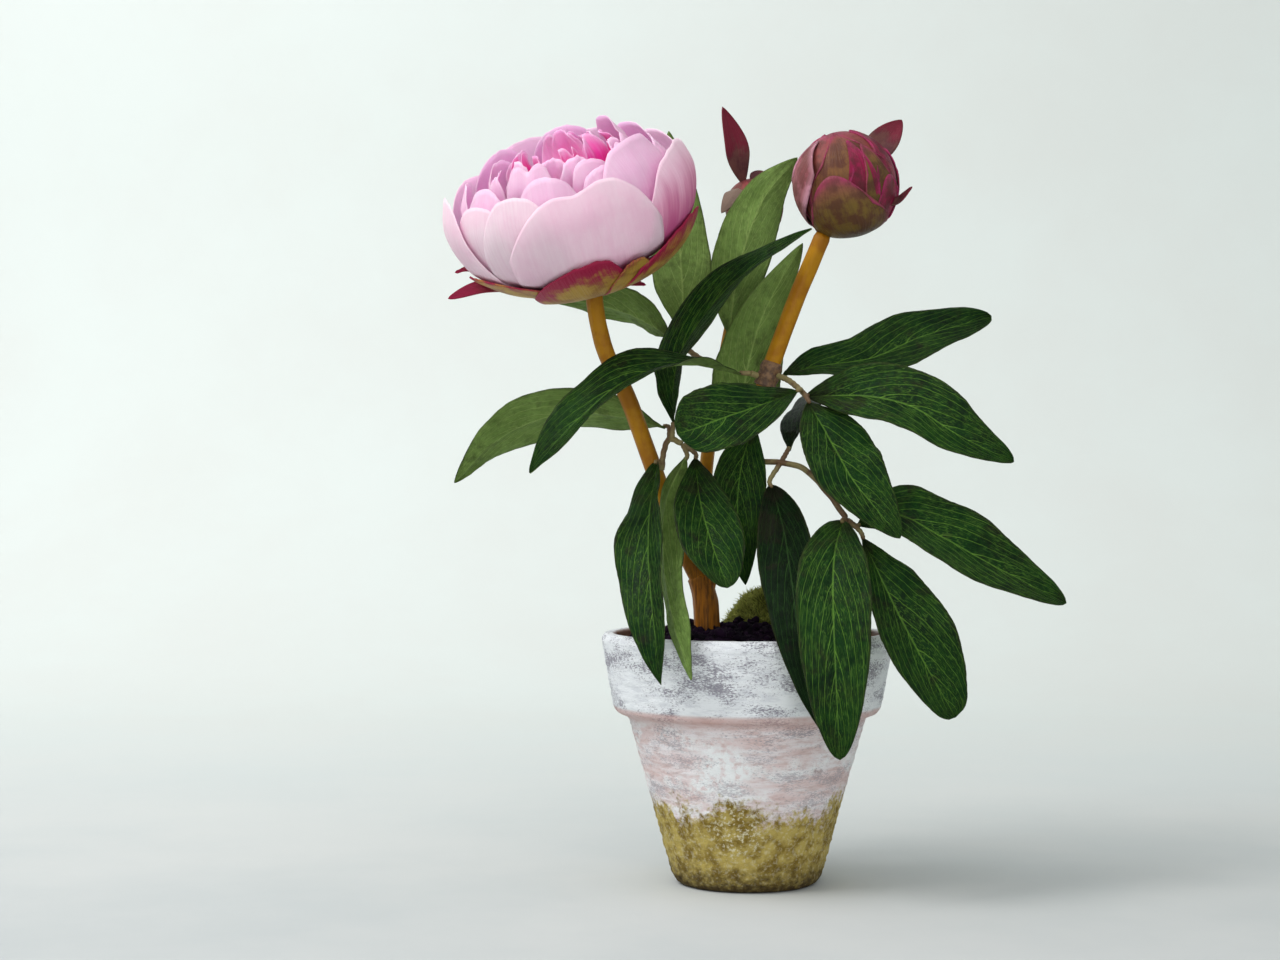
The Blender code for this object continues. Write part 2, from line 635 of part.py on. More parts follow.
HEART_RINGS = [
    dict(line=[(8, 24), (14, 30), (18, 39), (20, 48), (16, 59)], count=6, width=20, start=0),
    dict(line=[(4, 24), (7, 31), (9, 40), (10, 48), (7, 57)], count=4, width=12, start=30),
]


def make_guard_petals(frame, collection, scratch, material):
    core = petal_core("bloom_guard_petals", frame, (20, 30), GUARD_SEAT + GAP, INNER_SEAT, collection)
    for number, petal in enumerate(GUARD_PETALS):
        surface = petal_surface(frame, line=GUARD_LINE, ruffle=0.7, phase=1.9 * number, **petal)
        across = round(petal["width"] / GUARD_FACET)
        add_blades(core, [surface], across, 4, PETAL_THICKNESS, scratch)
    return grow(core, scratch, material)


def ring_surfaces(frame, ring, draw, notches, ruffle):
    """A ring of petals, alternately in and out, each a little different."""
    surfaces = []
    for number in range(ring["count"]):
        surfaces.append(
            petal_surface(
                frame,
                ring["start"] + 360 * number / ring["count"] + draw.uniform(-4, 4),
                ring["line"],
                ring["width"] * draw.uniform(0.93, 1.07),
                reach=draw.uniform(0.9, 1.0),
                out=0.9 if number % 2 else -0.9,
                notch=draw.choice(notches),
                ruffle=ruffle,
                phase=draw.uniform(0, 6.28),
            )
        )
    return surfaces


def make_inner_petals(frame, collection, scratch, material):
    core = petal_core("bloom_inner_petals", frame, (18, 25), INNER_SEAT + GAP, HEART_SEAT, collection)
    draw = random.Random(5)
    surfaces = ring_surfaces(frame, MIDDLE_RING, draw, [0.0, 0.08], 0.9)
    surfaces += ring_surfaces(frame, INNER_RING, draw, [0.06, 0.14], 1.1)
    add_blades(core, surfaces, 3, 3, PETAL_THICKNESS, scratch)
    return grow(core, scratch, material)


def make_heart_petals(frame, collection, scratch, material):
    core = petal_core("bloom_heart_petals", frame, (10, 13), HEART_SEAT + GAP, HEART_TOP, collection)
    draw = random.Random(9)
    surfaces = []
    for ring in HEART_RINGS:
        surfaces += ring_surfaces(frame, ring, draw, [0.10, 0.18], 1.0)
    add_blades(core, surfaces, 2, 2, PETAL_THICKNESS, scratch)
    return grow(core, scratch, material)


CALYX_DEPTH = 4.2
SEPAL_LINE = [(9, -2.2), (21, -1.1), (29.5, 1.7), (38, 5.4), (51.2, 15.4), (56.6, 27)]
SEPALS = [
    dict(azimuth=-8, width=38, reach=0.92, out=1.8),
    dict(azimuth=26, width=24, reach=0.82, out=2.8),
    dict(azimuth=72, width=48, reach=0.92, out=2.4),
    dict(azimuth=150, width=36, reach=0.78),
    dict(azimuth=-136, width=36, reach=0.78),
    dict(azimuth=-75, width=36, reach=0.76),
]
CALYX_BRACTS = [
    dict(azimuth=-85, line=[(40, 8.6), (46.5, 10.4), (54, 11.7), (60, 10.4)], width=5.5),
    dict(azimuth=-88, line=[(43, 11.2), (47, 13.8), (51, 15.6), (55, 16.6)], width=4.0),
    dict(azimuth=52, line=[(8, -2.4), (14, -3.2), (20, -4.2), (26, -6)], width=4.0),
]


def make_calyx(frame, collection, scratch, material):
    """The cup under the bloom: a dish on the stem, round sepals that hug the petals, and pointed bracts."""
    core = petal_core("bloom_calyx", frame, (6.5, 14.5), -CALYX_DEPTH, -0.6, collection)
    sepals = [petal_surface(frame, line=SEPAL_LINE, drop=0.4, **sepal) for sepal in SEPALS]
    add_blades(core, sepals, 3, 4, PETAL_THICKNESS, scratch)
    bracts = [petal_surface(frame, root=0.5, flat=3.0, drop=0.8, **bract) for bract in CALYX_BRACTS]
    add_blades(core, bracts, 2, 3, PETAL_THICKNESS, scratch)
    return grow(core, scratch, material)


# The buds


def scale_surface(frame, radius, length, azimuth, spread, low, high, lift):
    """A scale wrapped on the bud, spread degrees wide, between two polar angles counted from the bottom."""
    shell = radius + lift - SCALE_THICKNESS / 2

    def surface(u, q):
        top = high - (high - low) * 0.35 * abs(u) ** 1.8
        rise = math.radians(low + (top - low) * q)
        wide = 0.55 + 0.45 * math.sin(math.pi * min(1.0, 0.9 * q + 0.1))
        turn = math.radians(azimuth + u * spread / 2 * wide)
        ring, height = math.sin(rise) * shell, -math.cos(rise) * shell * length
        return frame @ Vector((ring * math.sin(turn), -ring * math.cos(turn), height))

    return surface


SCALE_THICKNESS = 3.0
BRACT_THICKNESS = 1.0
BUD_SCALES = [
    dict(azimuth=-22, spread=88, low=14, high=116, lift=1.3),
    dict(azimuth=50, spread=88, low=14, high=97, lift=0.7),
    dict(azimuth=128, spread=96, low=14, high=108, lift=1.3),
    dict(azimuth=-150, spread=100, low=14, high=104, lift=0.7),
    dict(azimuth=-88, spread=100, low=64, high=172, lift=1.9),
    dict(azimuth=88, spread=105, low=62, high=166, lift=1.1),
    dict(azimuth=178, spread=100, low=66, high=160, lift=0.6),
]
BUD_BRACTS = [
    dict(midrib=[(53.5, -8, 310.5), (60, -5.5, 318), (66, -4, 326.5)], halves=(6.5, 6.5),
         faces=[(-0.6, -0.6, 0.3), (-0.5, -0.8, 0.2)], fold=0.3, wave=0.0, belly=0.3, base=0.5),
    dict(midrib=[(57, -19, 291.5), (62, -21, 289.8), (68.5, -21.5, 296)], halves=(2.4, 2.4),
         faces=[(-0.4, -0.6, 0.6), (-0.4, -0.6, 0.5)], fold=0.2, wave=0.0, belly=0.3, base=0.5),
]
BACK_BUD_BRACTS = [
    dict(midrib=[(0.5, 36, 303), (-2, 33, 313), (-4, 31, 323), (-9.5, 30, 338)], halves=(5.5, 5.5),
         faces=[(0.1, -0.95, 0.1), (0.3, -0.9, 0.1)], fold=0.2, wave=0.0, belly=0.55),
    dict(midrib=[(3, 35, 305), (7, 34, 307.5), (11.5, 33, 308)], halves=(3.5, 3.5),
         faces=[(0.1, -0.8, 0.6), (0.1, -0.8, 0.6)], fold=0.2, wave=0.0, belly=0.3),
    dict(midrib=[(0, 35, 304), (-5, 28, 299), (-10, 27, 290.5)], halves=(4.5, 4.5),
         faces=[(-0.5, -0.8, 0.2), (-0.5, -0.8, 0.0)], fold=-0.2, wave=0.0, belly=0.4),
]


def make_bud(name, centre, axis, radius, length, scales, bracts, collection, scratch, material):
    """A tight bud: a long ball with overlapping scales standing proud of it, and loose pointed bracts."""
    frame = axis_frame(centre, axis)
    bm = bmesh.new()
    bmesh.ops.create_uvsphere(bm, u_segments=12, v_segments=7, radius=radius)
    bm.transform(Matrix.Scale(MM, 4) @ frame @ Matrix.Diagonal((1, 1, length, 1)))
    mesh = bpy.data.meshes.new(name)
    bm.to_mesh(mesh)
    bm.free()
    ball = new_object(name, mesh, collection)
    shapes = [dict(scale, lift=scale["lift"] * radius / BUD_RADIUS) for scale in scales]
    wraps = [scale_surface(frame, radius, length, **shape) for shape in shapes]
    add_blades(ball, wraps, 3, 2, SCALE_THICKNESS, scratch)
    add_blades(ball, [leaf_surface(**bract) for bract in bracts], 2, 4, BRACT_THICKNESS, scratch)
    return grow(ball, scratch, material)


def main():
    for obj in list(bpy.data.objects):
        bpy.data.objects.remove(obj)
    scene = bpy.context.scene.collection
    peony, cutters, scratch = (bpy.data.collections.new(n) for n in ("potted_peony", "cutters", "scratch"))
    for collection in (peony, cutters, scratch):
        scene.children.link(collection)
    clay = principled("whitewashed_clay", (0.62, 0.52, 0.47), 0.95)
    earth = principled("potting_soil", (0.030, 0.018, 0.022), 1.0)
    moss_green = principled("moss", (0.12, 0.14, 0.02), 1.0)
    stem_orange = principled("stem", (0.52, 0.22, 0.02), 0.5)
    stalk_olive = principled("leaf_stalk", (0.22, 0.16, 0.07), 0.6)
    leaf_green = principled("leaf", (0.02, 0.10, 0.025), 0.6)
    guard_pink = principled("guard_petal", (0.86, 0.62, 0.70), 0.6)
    inner_pink = principled("inner_petal", (0.85, 0.45, 0.68), 0.6)
    heart_pink = principled("heart_petal", (0.75, 0.20, 0.50), 0.6)
    calyx_olive = principled("calyx", (0.35, 0.16, 0.04), 0.55)
    bud_crimson = principled("bud", (0.25, 0.07, 0.07), 0.5)

    make_pot(peony, clay)
    make_soil(peony, cutters, earth)
    make_moss(peony, scratch, moss_green)
    make_stems(peony, scratch, stem_orange)
    for name, spec in STALKS.items():
        make_stalk(name, spec, peony, scratch, stalk_olive)
    for name, spec in LEAVES.items():
        make_leaf(name, spec, peony, leaf_green)
    bloom = axis_frame(BLOOM_BASE, BLOOM_AXIS)
    make_calyx(bloom, peony, scratch, calyx_olive)
    make_guard_petals(bloom, peony, scratch, guard_pink)
    make_inner_petals(bloom, peony, scratch, inner_pink)
    make_heart_petals(bloom, peony, scratch, heart_pink)
    make_bud(
        "bud",
        BUD_CENTRE,
        BUD_AXIS,
        BUD_RADIUS,
        BUD_LENGTH,
        BUD_SCALES,
        BUD_BRACTS,
        peony,
        scratch,
        bud_crimson,
    )
    make_bud(
        "back_bud",
        BACK_BUD_CENTRE,
        BACK_BUD_AXIS,
        BACK_BUD_RADIUS,
        BACK_BUD_LENGTH,
        BUD_SCALES[:4],
        BACK_BUD_BRACTS,
        peony,
        scratch,
        bud_crimson,
    )


main()
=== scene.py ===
# %% [markdown]
# # A potted peony and its finishes
#
# The solids of the plant are already modelled and packed. This lesson loads them as a fixed frame and
# dresses them. The real object is a decorative peony: cloth leaves with pressed veins, cloth petals,
# moulded orange stems, and an old whitewashed clay pot with moss growing up its foot.

# %% Load the solids
import json
import random
from math import ceil, copysign, cos, exp, hypot, pi, radians, sin, sqrt

import bmesh
import bpy
from mathutils import Matrix, Vector, noise

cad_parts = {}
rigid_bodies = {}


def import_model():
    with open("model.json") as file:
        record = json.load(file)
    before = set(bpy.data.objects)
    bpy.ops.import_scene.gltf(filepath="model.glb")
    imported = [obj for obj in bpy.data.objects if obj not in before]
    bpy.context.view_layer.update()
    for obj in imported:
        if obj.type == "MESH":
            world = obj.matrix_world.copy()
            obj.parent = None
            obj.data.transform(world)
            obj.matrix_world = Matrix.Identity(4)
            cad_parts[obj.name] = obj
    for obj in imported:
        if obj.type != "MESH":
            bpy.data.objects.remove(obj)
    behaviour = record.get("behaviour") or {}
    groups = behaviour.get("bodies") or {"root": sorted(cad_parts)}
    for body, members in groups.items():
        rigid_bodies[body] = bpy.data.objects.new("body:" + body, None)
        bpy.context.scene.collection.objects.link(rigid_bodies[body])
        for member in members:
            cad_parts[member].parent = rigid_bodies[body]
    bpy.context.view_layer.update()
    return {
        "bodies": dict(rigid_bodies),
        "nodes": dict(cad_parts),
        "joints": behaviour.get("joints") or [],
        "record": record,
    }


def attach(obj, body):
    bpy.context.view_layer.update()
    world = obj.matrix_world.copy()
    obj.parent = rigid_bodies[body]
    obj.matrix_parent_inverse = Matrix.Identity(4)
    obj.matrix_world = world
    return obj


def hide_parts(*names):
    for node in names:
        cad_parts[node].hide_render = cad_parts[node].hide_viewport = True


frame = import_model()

MM = 0.001  # every length below is written in millimetres

# %% [markdown]
# ## The view
#
# A camera can be placed by eye, but here the pot's rim and foot gave it: a level camera about a metre in
# front of the plant, at half its height. It comes first, so that every later render matches the photo.

# %% Set up the camera
IMAGE_WIDTH = 1280
FOCAL_PIXELS = 2300  # the distance from the lens to the image, in pixels of the photograph
CAMERA_PLACE = (-46.0, -989.0, 172.6)
camera_data = bpy.data.cameras.new("camera")
camera_data.sensor_width = 36.0
camera_data.lens = camera_data.sensor_width * FOCAL_PIXELS / IMAGE_WIDTH
camera = bpy.data.objects.new("camera", camera_data)
camera.location = Vector(CAMERA_PLACE) * MM
camera.rotation_euler = (radians(90), 0, 0)
bpy.context.scene.collection.objects.link(camera)
bpy.context.scene.camera = camera
print("lens", round(camera_data.lens, 2), "mm")

# %% [markdown]
# ## Helpers for nodes
#
# A material is a tree of nodes. Written out one by one they hide what the finish is, so a few short helpers
# add a node, mix two colours, or turn a value into a soft mask. Each helper finds its tree from the values
# that it links. Colours are written the way a photograph shows them, from 0 to 255, and turned into the
# linear values that Blender mixes.


# %% Make the node helpers
Socket = bpy.types.NodeSocket


def srgb(red, green, blue):
    """The linear colour for a photograph's 0 to 255 values."""
    shares = [value / 255 for value in (red, green, blue)]
    linear = [s / 12.92 if s < 0.04045 else ((s + 0.055) / 1.055) ** 2.4 for s in shares]
    return (*linear, 1.0)


def add(kind, inputs, tree=None, **settings):
    """Adds a node and gives its outputs. Its tree, unless given, is that of its linked inputs."""
    tree = tree or next(value.id_data for value in inputs.values() if isinstance(value, Socket))
    node = tree.nodes.new(kind)
    for name, value in settings.items():
        setattr(node, name, value)
    for name, value in inputs.items():
        if isinstance(value, Socket):
            tree.links.new(value, node.inputs[name])
        else:
            node.inputs[name].default_value = value
    return node.outputs


def link(value, target):
    value.id_data.links.new(value, target)


def maths(operation, *values, clamp=False):
    inputs = dict(enumerate(values))
    return add("ShaderNodeMath", inputs, operation=operation, use_clamp=clamp)[0]


def times(value, factor):
    return maths("MULTIPLY", value, factor)


def scaled(value, factor, shift):
    """The value times the factor, plus the shift."""
    return maths("MULTIPLY_ADD", value, factor, shift)


def mix(share, low, high):
    """The colour low where share is 0 and high where it is 1, each a link or a 0 to 255 triple."""
    low, high = (colour if isinstance(colour, Socket) else srgb(*colour) for colour in (low, high))
    return add("ShaderNodeMix", {0: share, 6: low, 7: high}, data_type="RGBA")[2]


def layered(colour, *layers):
    """Lays colours over the first one, each where its own mask says."""
    for share, over in layers:
        colour = mix(share, colour, over)
    return colour


def fade(value, start, end, low=0.0, high=1.0):
    """Goes smoothly from low, where the value is at start, to high, where it is at end."""
    inputs = {0: value, 1: start, 2: end, 3: low, 4: high}
    return add("ShaderNodeMapRange", inputs, interpolation_type="SMOOTHSTEP")[0]


def stretch(place, scale):
    return add("ShaderNodeMapping", {"Vector": place, "Scale": scale})[0]


def grain(place, scale, detail=3.0, roughness=0.55):
    inputs = {"Vector": place, "Scale": scale, "Detail": detail, "Roughness": roughness}
    return add("ShaderNodeTexNoise", inputs)["Fac"]


def combined(*values):
    return add("ShaderNodeCombineXYZ", dict(enumerate(values)))[0]


def height_of(place):
    return add("ShaderNodeSeparateXYZ", {0: place})[2]


def length_of(place):
    return add("ShaderNodeVectorMath", {0: place}, operation="LENGTH")["Value"]


def tone_of(tree):
    """The number that each piece of a joined object carries, to look a little different."""
    return add("ShaderNodeAttribute", {}, tree, attribute_name="tone")["Fac"]


def leaf_shares(tree):
    """The places across, 0 to 1, and along, 0 at the root to 1 at the tip, and the tone."""
    parts = add("ShaderNodeSeparateXYZ", {0: add("ShaderNodeUVMap", {}, tree, uv_map="UVMap")[0]})
    return parts[0], parts[1], tone_of(tree)


def new_group(name, inputs, outputs):
    """An empty node group: inputs is name to default value, None for a place, and outputs is names."""
    group = bpy.data.node_groups.new(name, "ShaderNodeTree")
    for title, default in inputs.items():
        kind = "NodeSocketVector" if default is None else "NodeSocketFloat"
        socket = group.interface.new_socket(title, in_out="INPUT", socket_type=kind)
        if default is not None:
            socket.default_value = default
    for title in outputs:
        group.interface.new_socket(title, in_out="OUTPUT", socket_type="NodeSocketFloat")
    return group, group.nodes.new("NodeGroupInput").outputs, group.nodes.new("NodeGroupOutput").inputs


def use(group, inputs):
    return add("ShaderNodeGroup", inputs, node_tree=group)


def new_material(name, roughness, **sockets):
    """A material, the inputs of its Principled BSDF, and the place on the object in millimetres."""
    material = bpy.data.materials.new(name)
    material.use_nodes = True
    tree = material.node_tree
    shader = tree.nodes["Principled BSDF"]
    shader.inputs["Roughness"].default_value = roughness
    for title, value in sockets.items():
        shader.inputs[title.replace("_", " ")].default_value = value
    metres = add("ShaderNodeTexCoord", {}, tree)["Object"]
    place = add("ShaderNodeVectorMath", {0: metres, "Scale": 1 / MM}, operation="SCALE")[0]
    return material, shader.inputs, place


def surface_finish(shader, colour, height, distance, strength):
    """Links a colour, and a relief whose full height is distance millimetres."""
    link(colour, shader["Base Color"])
    inputs = {"Height": height, "Distance": distance * MM, "Strength": strength}
    link(add("ShaderNodeBump", inputs)[0], shader["Normal"])


print("node helpers ready")

# %% [markdown]
# ## Effects that several finishes share
#
# Cloth, clay, soil and moulding all vary from place to place, and every cloth piece has a weave. Each such
# effect is one node group with named inputs, so a material only says how strong or how fine it is there.
# The pressed veins of a leaf show on both its sides, so they are a group as well: a midrib, side veins that
# leave it at a sharp angle, and a net between them.

# %% Build the shared groups
mottle, source, result = new_group(
    "mottle", {"Place": None, "Scale": 0.1, "Start": 0.4, "End": 0.6}, ["Share"]
)
patches = grain(source["Place"], source["Scale"], 5.0, 0.6)
link(fade(patches, source["Start"], source["End"]), result["Share"])


def mottled(place, scale, start, end):
    """A mask of soft patches. The nearer start and end are, the harder its edges."""
    return use(mottle, {"Place": place, "Scale": scale, "Start": start, "End": end})["Share"]


weave, source, result = new_group("weave", {"Place": None, "Threads": 2.0}, ["Height"])
turned_place = add("ShaderNodeVectorRotate", {"Vector": source["Place"], "Angle": 0.6})[0]
threads = []
for direction in ("X", "Y", "Z"):
    inputs = {"Vector": turned_place, "Scale": source["Threads"], "Distortion": 0.4}
    threads.append(add("ShaderNodeTexWave", inputs, bands_direction=direction)["Fac"])
link(times(maths("ADD", threads[0], threads[2]), threads[1]), result["Height"])

VEIN_STEP = 0.125  # between two side veins, as a share of the leaf's length
VEIN_SWEEP = 0.55  # how far along the leaf a side vein travels on its way to the edge
VEIN_CURVE = 1.3
VEIN_WANDER = 0.07
VEIN_EDGES = (0.0075, 0.002)
RIB_WIDTH, RIB_TAPER = 0.055, -0.035  # of the midrib, as shares of the leaf's half width
NET_CELLS = (14.0, 66.0, 5.0)  # across, along, and from leaf to leaf
veins, source, result = new_group(
    "veins", {"Across": 0.5, "Along": 0.5, "Shift": 0.0}, ["Midrib", "Side veins", "Net", "Edge"]
)
half = scaled(source["Across"], 2.0, -1.0)
out = maths("ABSOLUTE", half)
rib_width = scaled(source["Along"], RIB_TAPER, RIB_WIDTH)
link(fade(maths("DIVIDE", out, rib_width), 1.0, 0.35), result["Midrib"])
uv = combined(half, source["Along"], source["Shift"])
wander = grain(stretch(uv, (2.0, 6.0, 1.0)), 1.0, 2.0)
sweep = times(maths("POWER", out, VEIN_CURVE), VEIN_SWEEP)
line = maths("SUBTRACT", source["Along"], sweep)
line = scaled(wander, VEIN_WANDER, line)
side_line = scaled(maths("SIGN", half), VEIN_STEP / 4, line)
away = maths("PINGPONG", side_line, VEIN_STEP / 2)
link(fade(away, *VEIN_EDGES), result["Side veins"])
between = combined(half, line, source["Shift"])
inputs = {"Vector": stretch(between, NET_CELLS), "Scale": 1.0, "Randomness": 1.0}
cells = add("ShaderNodeTexVoronoi", inputs, feature="DISTANCE_TO_EDGE")["Distance"]
link(fade(cells, 0.12, 0.02), result["Net"])
link(fade(out, 0.90, 0.99), result["Edge"])
print("groups", [group.name for group in bpy.data.node_groups])

# %% [markdown]
# ## Helpers for shapes
#
# Leaves and petals are thin cloth over a curved surface. They could be sculpted, but a formula keeps each
# one on the solid it stands for: a flat grid is bent by a function of the place across and along, and a
# Solidify modifier gives it the cloth's thickness, with the second side in a finish of its own.


# %% Make the shape helpers
def smooth_point(points, t):
    """The point at share t of a Catmull-Rom curve through the points, the ends carried on straight."""
    knots = [Vector(p) for p in points]
    knots = [2 * knots[0] - knots[1], *knots, 2 * knots[-1] - knots[-2]]
    spans = len(points) - 1
    span = min(int(t * spans), spans - 1)
    x = t * spans - span
    a, b, c, d = knots[span : span + 4]
    return 0.5 * (2 * b + (c - a) * x + (2 * a - 5 * b + 4 * c - d) * x**2 + (3 * b - a - 3 * c + d) * x**3)


def axis_frame(origin, axis):
    """The matrix that stands local +Z on the axis at the origin, with local -Y kept towards the front."""
    up = Vector(axis).normalized()
    front = Vector((0, -1, 0))
    front = (front - front.dot(up) * up).normalized()
    return Matrix.Translation(Vector(origin)) @ Matrix((up.cross(front), -front, up)).transposed().to_4x4()


def polar(radius, turn, height=0.0):
    return Vector((radius * cos(turn), radius * sin(turn), height))


def ripple(x, y=0.0, z=0.0):
    """Smooth noise from about -1 to 1, the same on every run."""
    return noise.noise(Vector((x, y, z)))


def step_up(value, start, end):
    share = min(1.0, max(0.0, (value - start) / (end - start)))
    return share * share * (3 - 2 * share)


def put(name, mesh, materials, tones=None):
    """Puts a mesh in the scene, with a tone for each of its points."""
    for material in materials:
        mesh.materials.append(material)
    if tones:
        mesh.attributes.new("tone", "FLOAT", "POINT").data.foreach_set("value", tones)
    obj = bpy.data.objects.new(name, mesh)
    bpy.context.scene.collection.objects.link(obj)
    return obj


def bent_grid(name, place, across, along, materials, tone=0.0, weld=False):
    """An object from a flat grid whose points go to place(u, v), with u from -1 to 1 and v from 0 to 1."""
    bm = bmesh.new()
    bmesh.ops.create_grid(bm, x_segments=across, y_segments=along, size=1.0)
    uv = bm.loops.layers.uv.new("UVMap")
    for face in bm.faces:
        face.smooth = True
        for loop in face.loops:
            loop[uv].uv = ((loop.vert.co.x + 1) / 2, (loop.vert.co.y + 1) / 2)
    for vert in bm.verts:
        vert.co = place(vert.co.x, (vert.co.y + 1) / 2) * MM
    if weld:
        bmesh.ops.remove_doubles(bm, verts=bm.verts[:], dist=1e-3 * MM)
    mesh = bpy.data.meshes.new(name)
    bm.to_mesh(mesh)
    bm.free()
    return put(name, mesh, materials, [tone] * len(mesh.vertices))


def join(name, pieces):
    """Joins the pieces into one object."""
    with bpy.context.temp_override(active_object=pieces[0], selected_editable_objects=pieces):
        bpy.ops.object.join()
    pieces[0].name = pieces[0].data.name = name
    return pieces[0]


def thicken(obj, thickness, two_sided=True):
    """Makes thin cloth of a surface, the second side in the next material."""
    solid = obj.modifiers.new("Cloth", "SOLIDIFY")
    solid.thickness = thickness * MM
    solid.offset = 0.0
    solid.material_offset = 1 if two_sided else 0
    return obj


def applied(obj):
    """Makes an object's modifiers part of its mesh."""
    graph = bpy.context.evaluated_depsgraph_get()
    obj.data = bpy.data.meshes.new_from_object(obj.evaluated_get(graph))
    obj.modifiers.clear()
    return obj


def bar(name, route, radii, around, along, material, relief=None):
    """A closed round bar along a smooth route. relief(turn, share) is added to its radius."""
    aside = Vector((0.2, 1, 0.1)).normalized()

    def place(u, v):
        ahead = (smooth_point(route, min(1, v + 0.02)) - smooth_point(route, max(0, v - 0.02))).normalized()
        right = ahead.cross(aside).normalized()
        front = right.cross(ahead)
        turn = pi * u
        closing = min(1.0, v * along / 2, (1 - v) * along / 2)
        radius = radii[0] + (radii[1] - radii[0]) * v + (relief(turn, v) if relief else 0.0)
        radius *= sqrt(max(0.0, 1 - (1 - closing) ** 2))
        return smooth_point(route, v) + (right * cos(turn) + front * sin(turn)) * radius

    return bent_grid(name, place, around, along, [material], weld=True)


def dress(obj, node):
    """The piece stands for the solid of that node and moves with the part."""
    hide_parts(node)
    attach(obj, "root")
    print(node, len(obj.data.polygons), "faces")


print("shape helpers ready")

# %% [markdown]
# ## The studio
#
# The photo was taken against a pale painted wall and floor with no line between them. A sheet that curves
# up behind the plant does the same. The light is soft and comes from the left, so the shadow is faint.

# %% Make the floor and the lights
SWEEP_HALF_WIDTH = 2200.0
SWEEP_FRONT = 1600.0
SWEEP_BEHIND = 700.0
SWEEP_CURVE = 500.0
SWEEP_HEIGHT = 1500.0
FLAT_END, TURN_END = 0.5, 0.75  # shares of the sheet where its floor and its turn end


def sweep_place(u, v):
    """The sheet's section: a flat floor, a quarter turn, and an upright wall."""
    x = SWEEP_HALF_WIDTH * u
    if v < FLAT_END:
        return Vector((x, -SWEEP_FRONT + (SWEEP_FRONT + SWEEP_BEHIND) * v / FLAT_END, 0))
    angle = pi / 2 * min(1.0, (v - FLAT_END) / (TURN_END - FLAT_END))
    y = SWEEP_BEHIND + SWEEP_CURVE * sin(angle)
    rise = max(0.0, v - TURN_END) / (1 - TURN_END) * (SWEEP_HEIGHT - SWEEP_CURVE)
    return Vector((x, y, SWEEP_CURVE * (1 - cos(angle)) + rise))


paper, shader, place = new_material("painted_sheet", 0.9)
blotches = mottled(place, 0.004, 0.3, 0.7)
depth = add("ShaderNodeSeparateXYZ", {0: place})[1]
# painted shade: the sheet is darker on the floor and lighter up the wall
floor_shade_to_wall = fade(depth, -300.0, 1100.0)
colour = layered((184, 189, 190), (floor_shade_to_wall, (230, 236, 233)), (times(blotches, 0.3), (222, 220, 216)))
surface_finish(shader, colour, grain(place, 0.05), 0.4, 0.3)
sweep = bent_grid("studio_sweep", sweep_place, 8, 64, [paper])

world = bpy.data.worlds.new("studio")
bpy.context.scene.world = world
world.use_nodes = True
daylight = world.node_tree.nodes["Background"].inputs
daylight["Color"].default_value = (0.97, 1.0, 0.995, 1.0)
daylight["Strength"].default_value = 0.52
bpy.context.scene.view_settings.view_transform = "Standard"

LIGHTS = {  # name to place, target, size and power
    "window": ((-900, -500, 1300), (0, 0, 150), 700, 12.0),
    "fill": ((100, -1500, 450), (0, 0, 150), 1200, 6.6),
    "ceiling": ((-100, -500, 1500), (0, 0, 200), 1300, 3.0),
    "wall_wash": ((-900, 200, 1300), (-300, 1200, 600), 900, 5.6),
}
for name, (place, target, size, power) in LIGHTS.items():
    data = bpy.data.lights.new(name, "AREA")
    data.shape = "DISK"
    data.size = size * MM
    data.energy = power
    light = bpy.data.objects.new(name, data)
    light.location = Vector(place) * MM
    light.rotation_euler = (Vector(target) - Vector(place)).to_track_quat("-Z", "Y").to_euler()
    bpy.context.scene.collection.objects.link(light)
print("studio lit")

# %% [markdown]
# ## The pot
#
# An old clay pot wears its years in layers: pink clay, whitewash in flakes and streaks, dark speckles, and
# moss that climbs from its foot. A painted image would be sharp in one view only, so each layer is a mask
# made of noise, height or a soft spot, and one colour is laid over the next.

# %% Finish for the clay
FOOT_MOSS_TOP = 37.0


def spot(place, centre, size):
    """A soft round mask about a place on the object."""
    centred = add("ShaderNodeVectorMath", {0: place, 1: centre}, operation="SUBTRACT")[0]
    sized = add("ShaderNodeVectorMath", {0: centred, 1: size}, operation="DIVIDE")[0]
    return fade(length_of(sized), 1.0, 0.3)


clay, shader, place = new_material("whitewashed_clay", 0.9, Specular_IOR_Level=0.2)
height = height_of(place)
streaked = stretch(place, (1.0, 1.0, 5.0))
streaks = mottled(streaked, 0.024, 0.42, 0.62)
fine_streaks = mottled(streaked, 0.13, 0.44, 0.66)
flakes = mottled(stretch(place, (1, 1, 1.6)), 0.05, 0.48, 0.60)
drip = spot(place, (-13, -46, 52), (15, 30, 20))
white = maths("ADD", times(flakes, 0.7), drip, clamp=True)
ragged = mottled(place, 0.35, 0.34, 0.56)
body = layered(
    (236, 231, 233),
    (streaks, (226, 207, 206)),
    (times(fine_streaks, 0.42), (188, 148, 140)),
    (times(white, ragged), (243, 245, 246)),
)
wash = mix(fine_streaks, (237, 240, 243), (220, 223, 228))

streaked = stretch(place, (1.0, 1.0, 2.6))
fine_grain = grain(streaked, 0.8, 5.0, 0.72)
dark_patch = spot(place, (-15, -60, 96), (20, 20, 12))
worn = scaled(dark_patch, 0.10, grain(streaked, 0.05, 2.0))
speckles = fade(scaled(worn, 0.7, fine_grain), 0.86, 0.99)
speckles = times(speckles, fade(height, 60, 80, 0.5, 0.9))
rust = spot(place, (28, -42, 52), (3.2, 12, 2.2))
under_band = times(fade(height, 68, 73), fade(height, 77.0, 75.5))

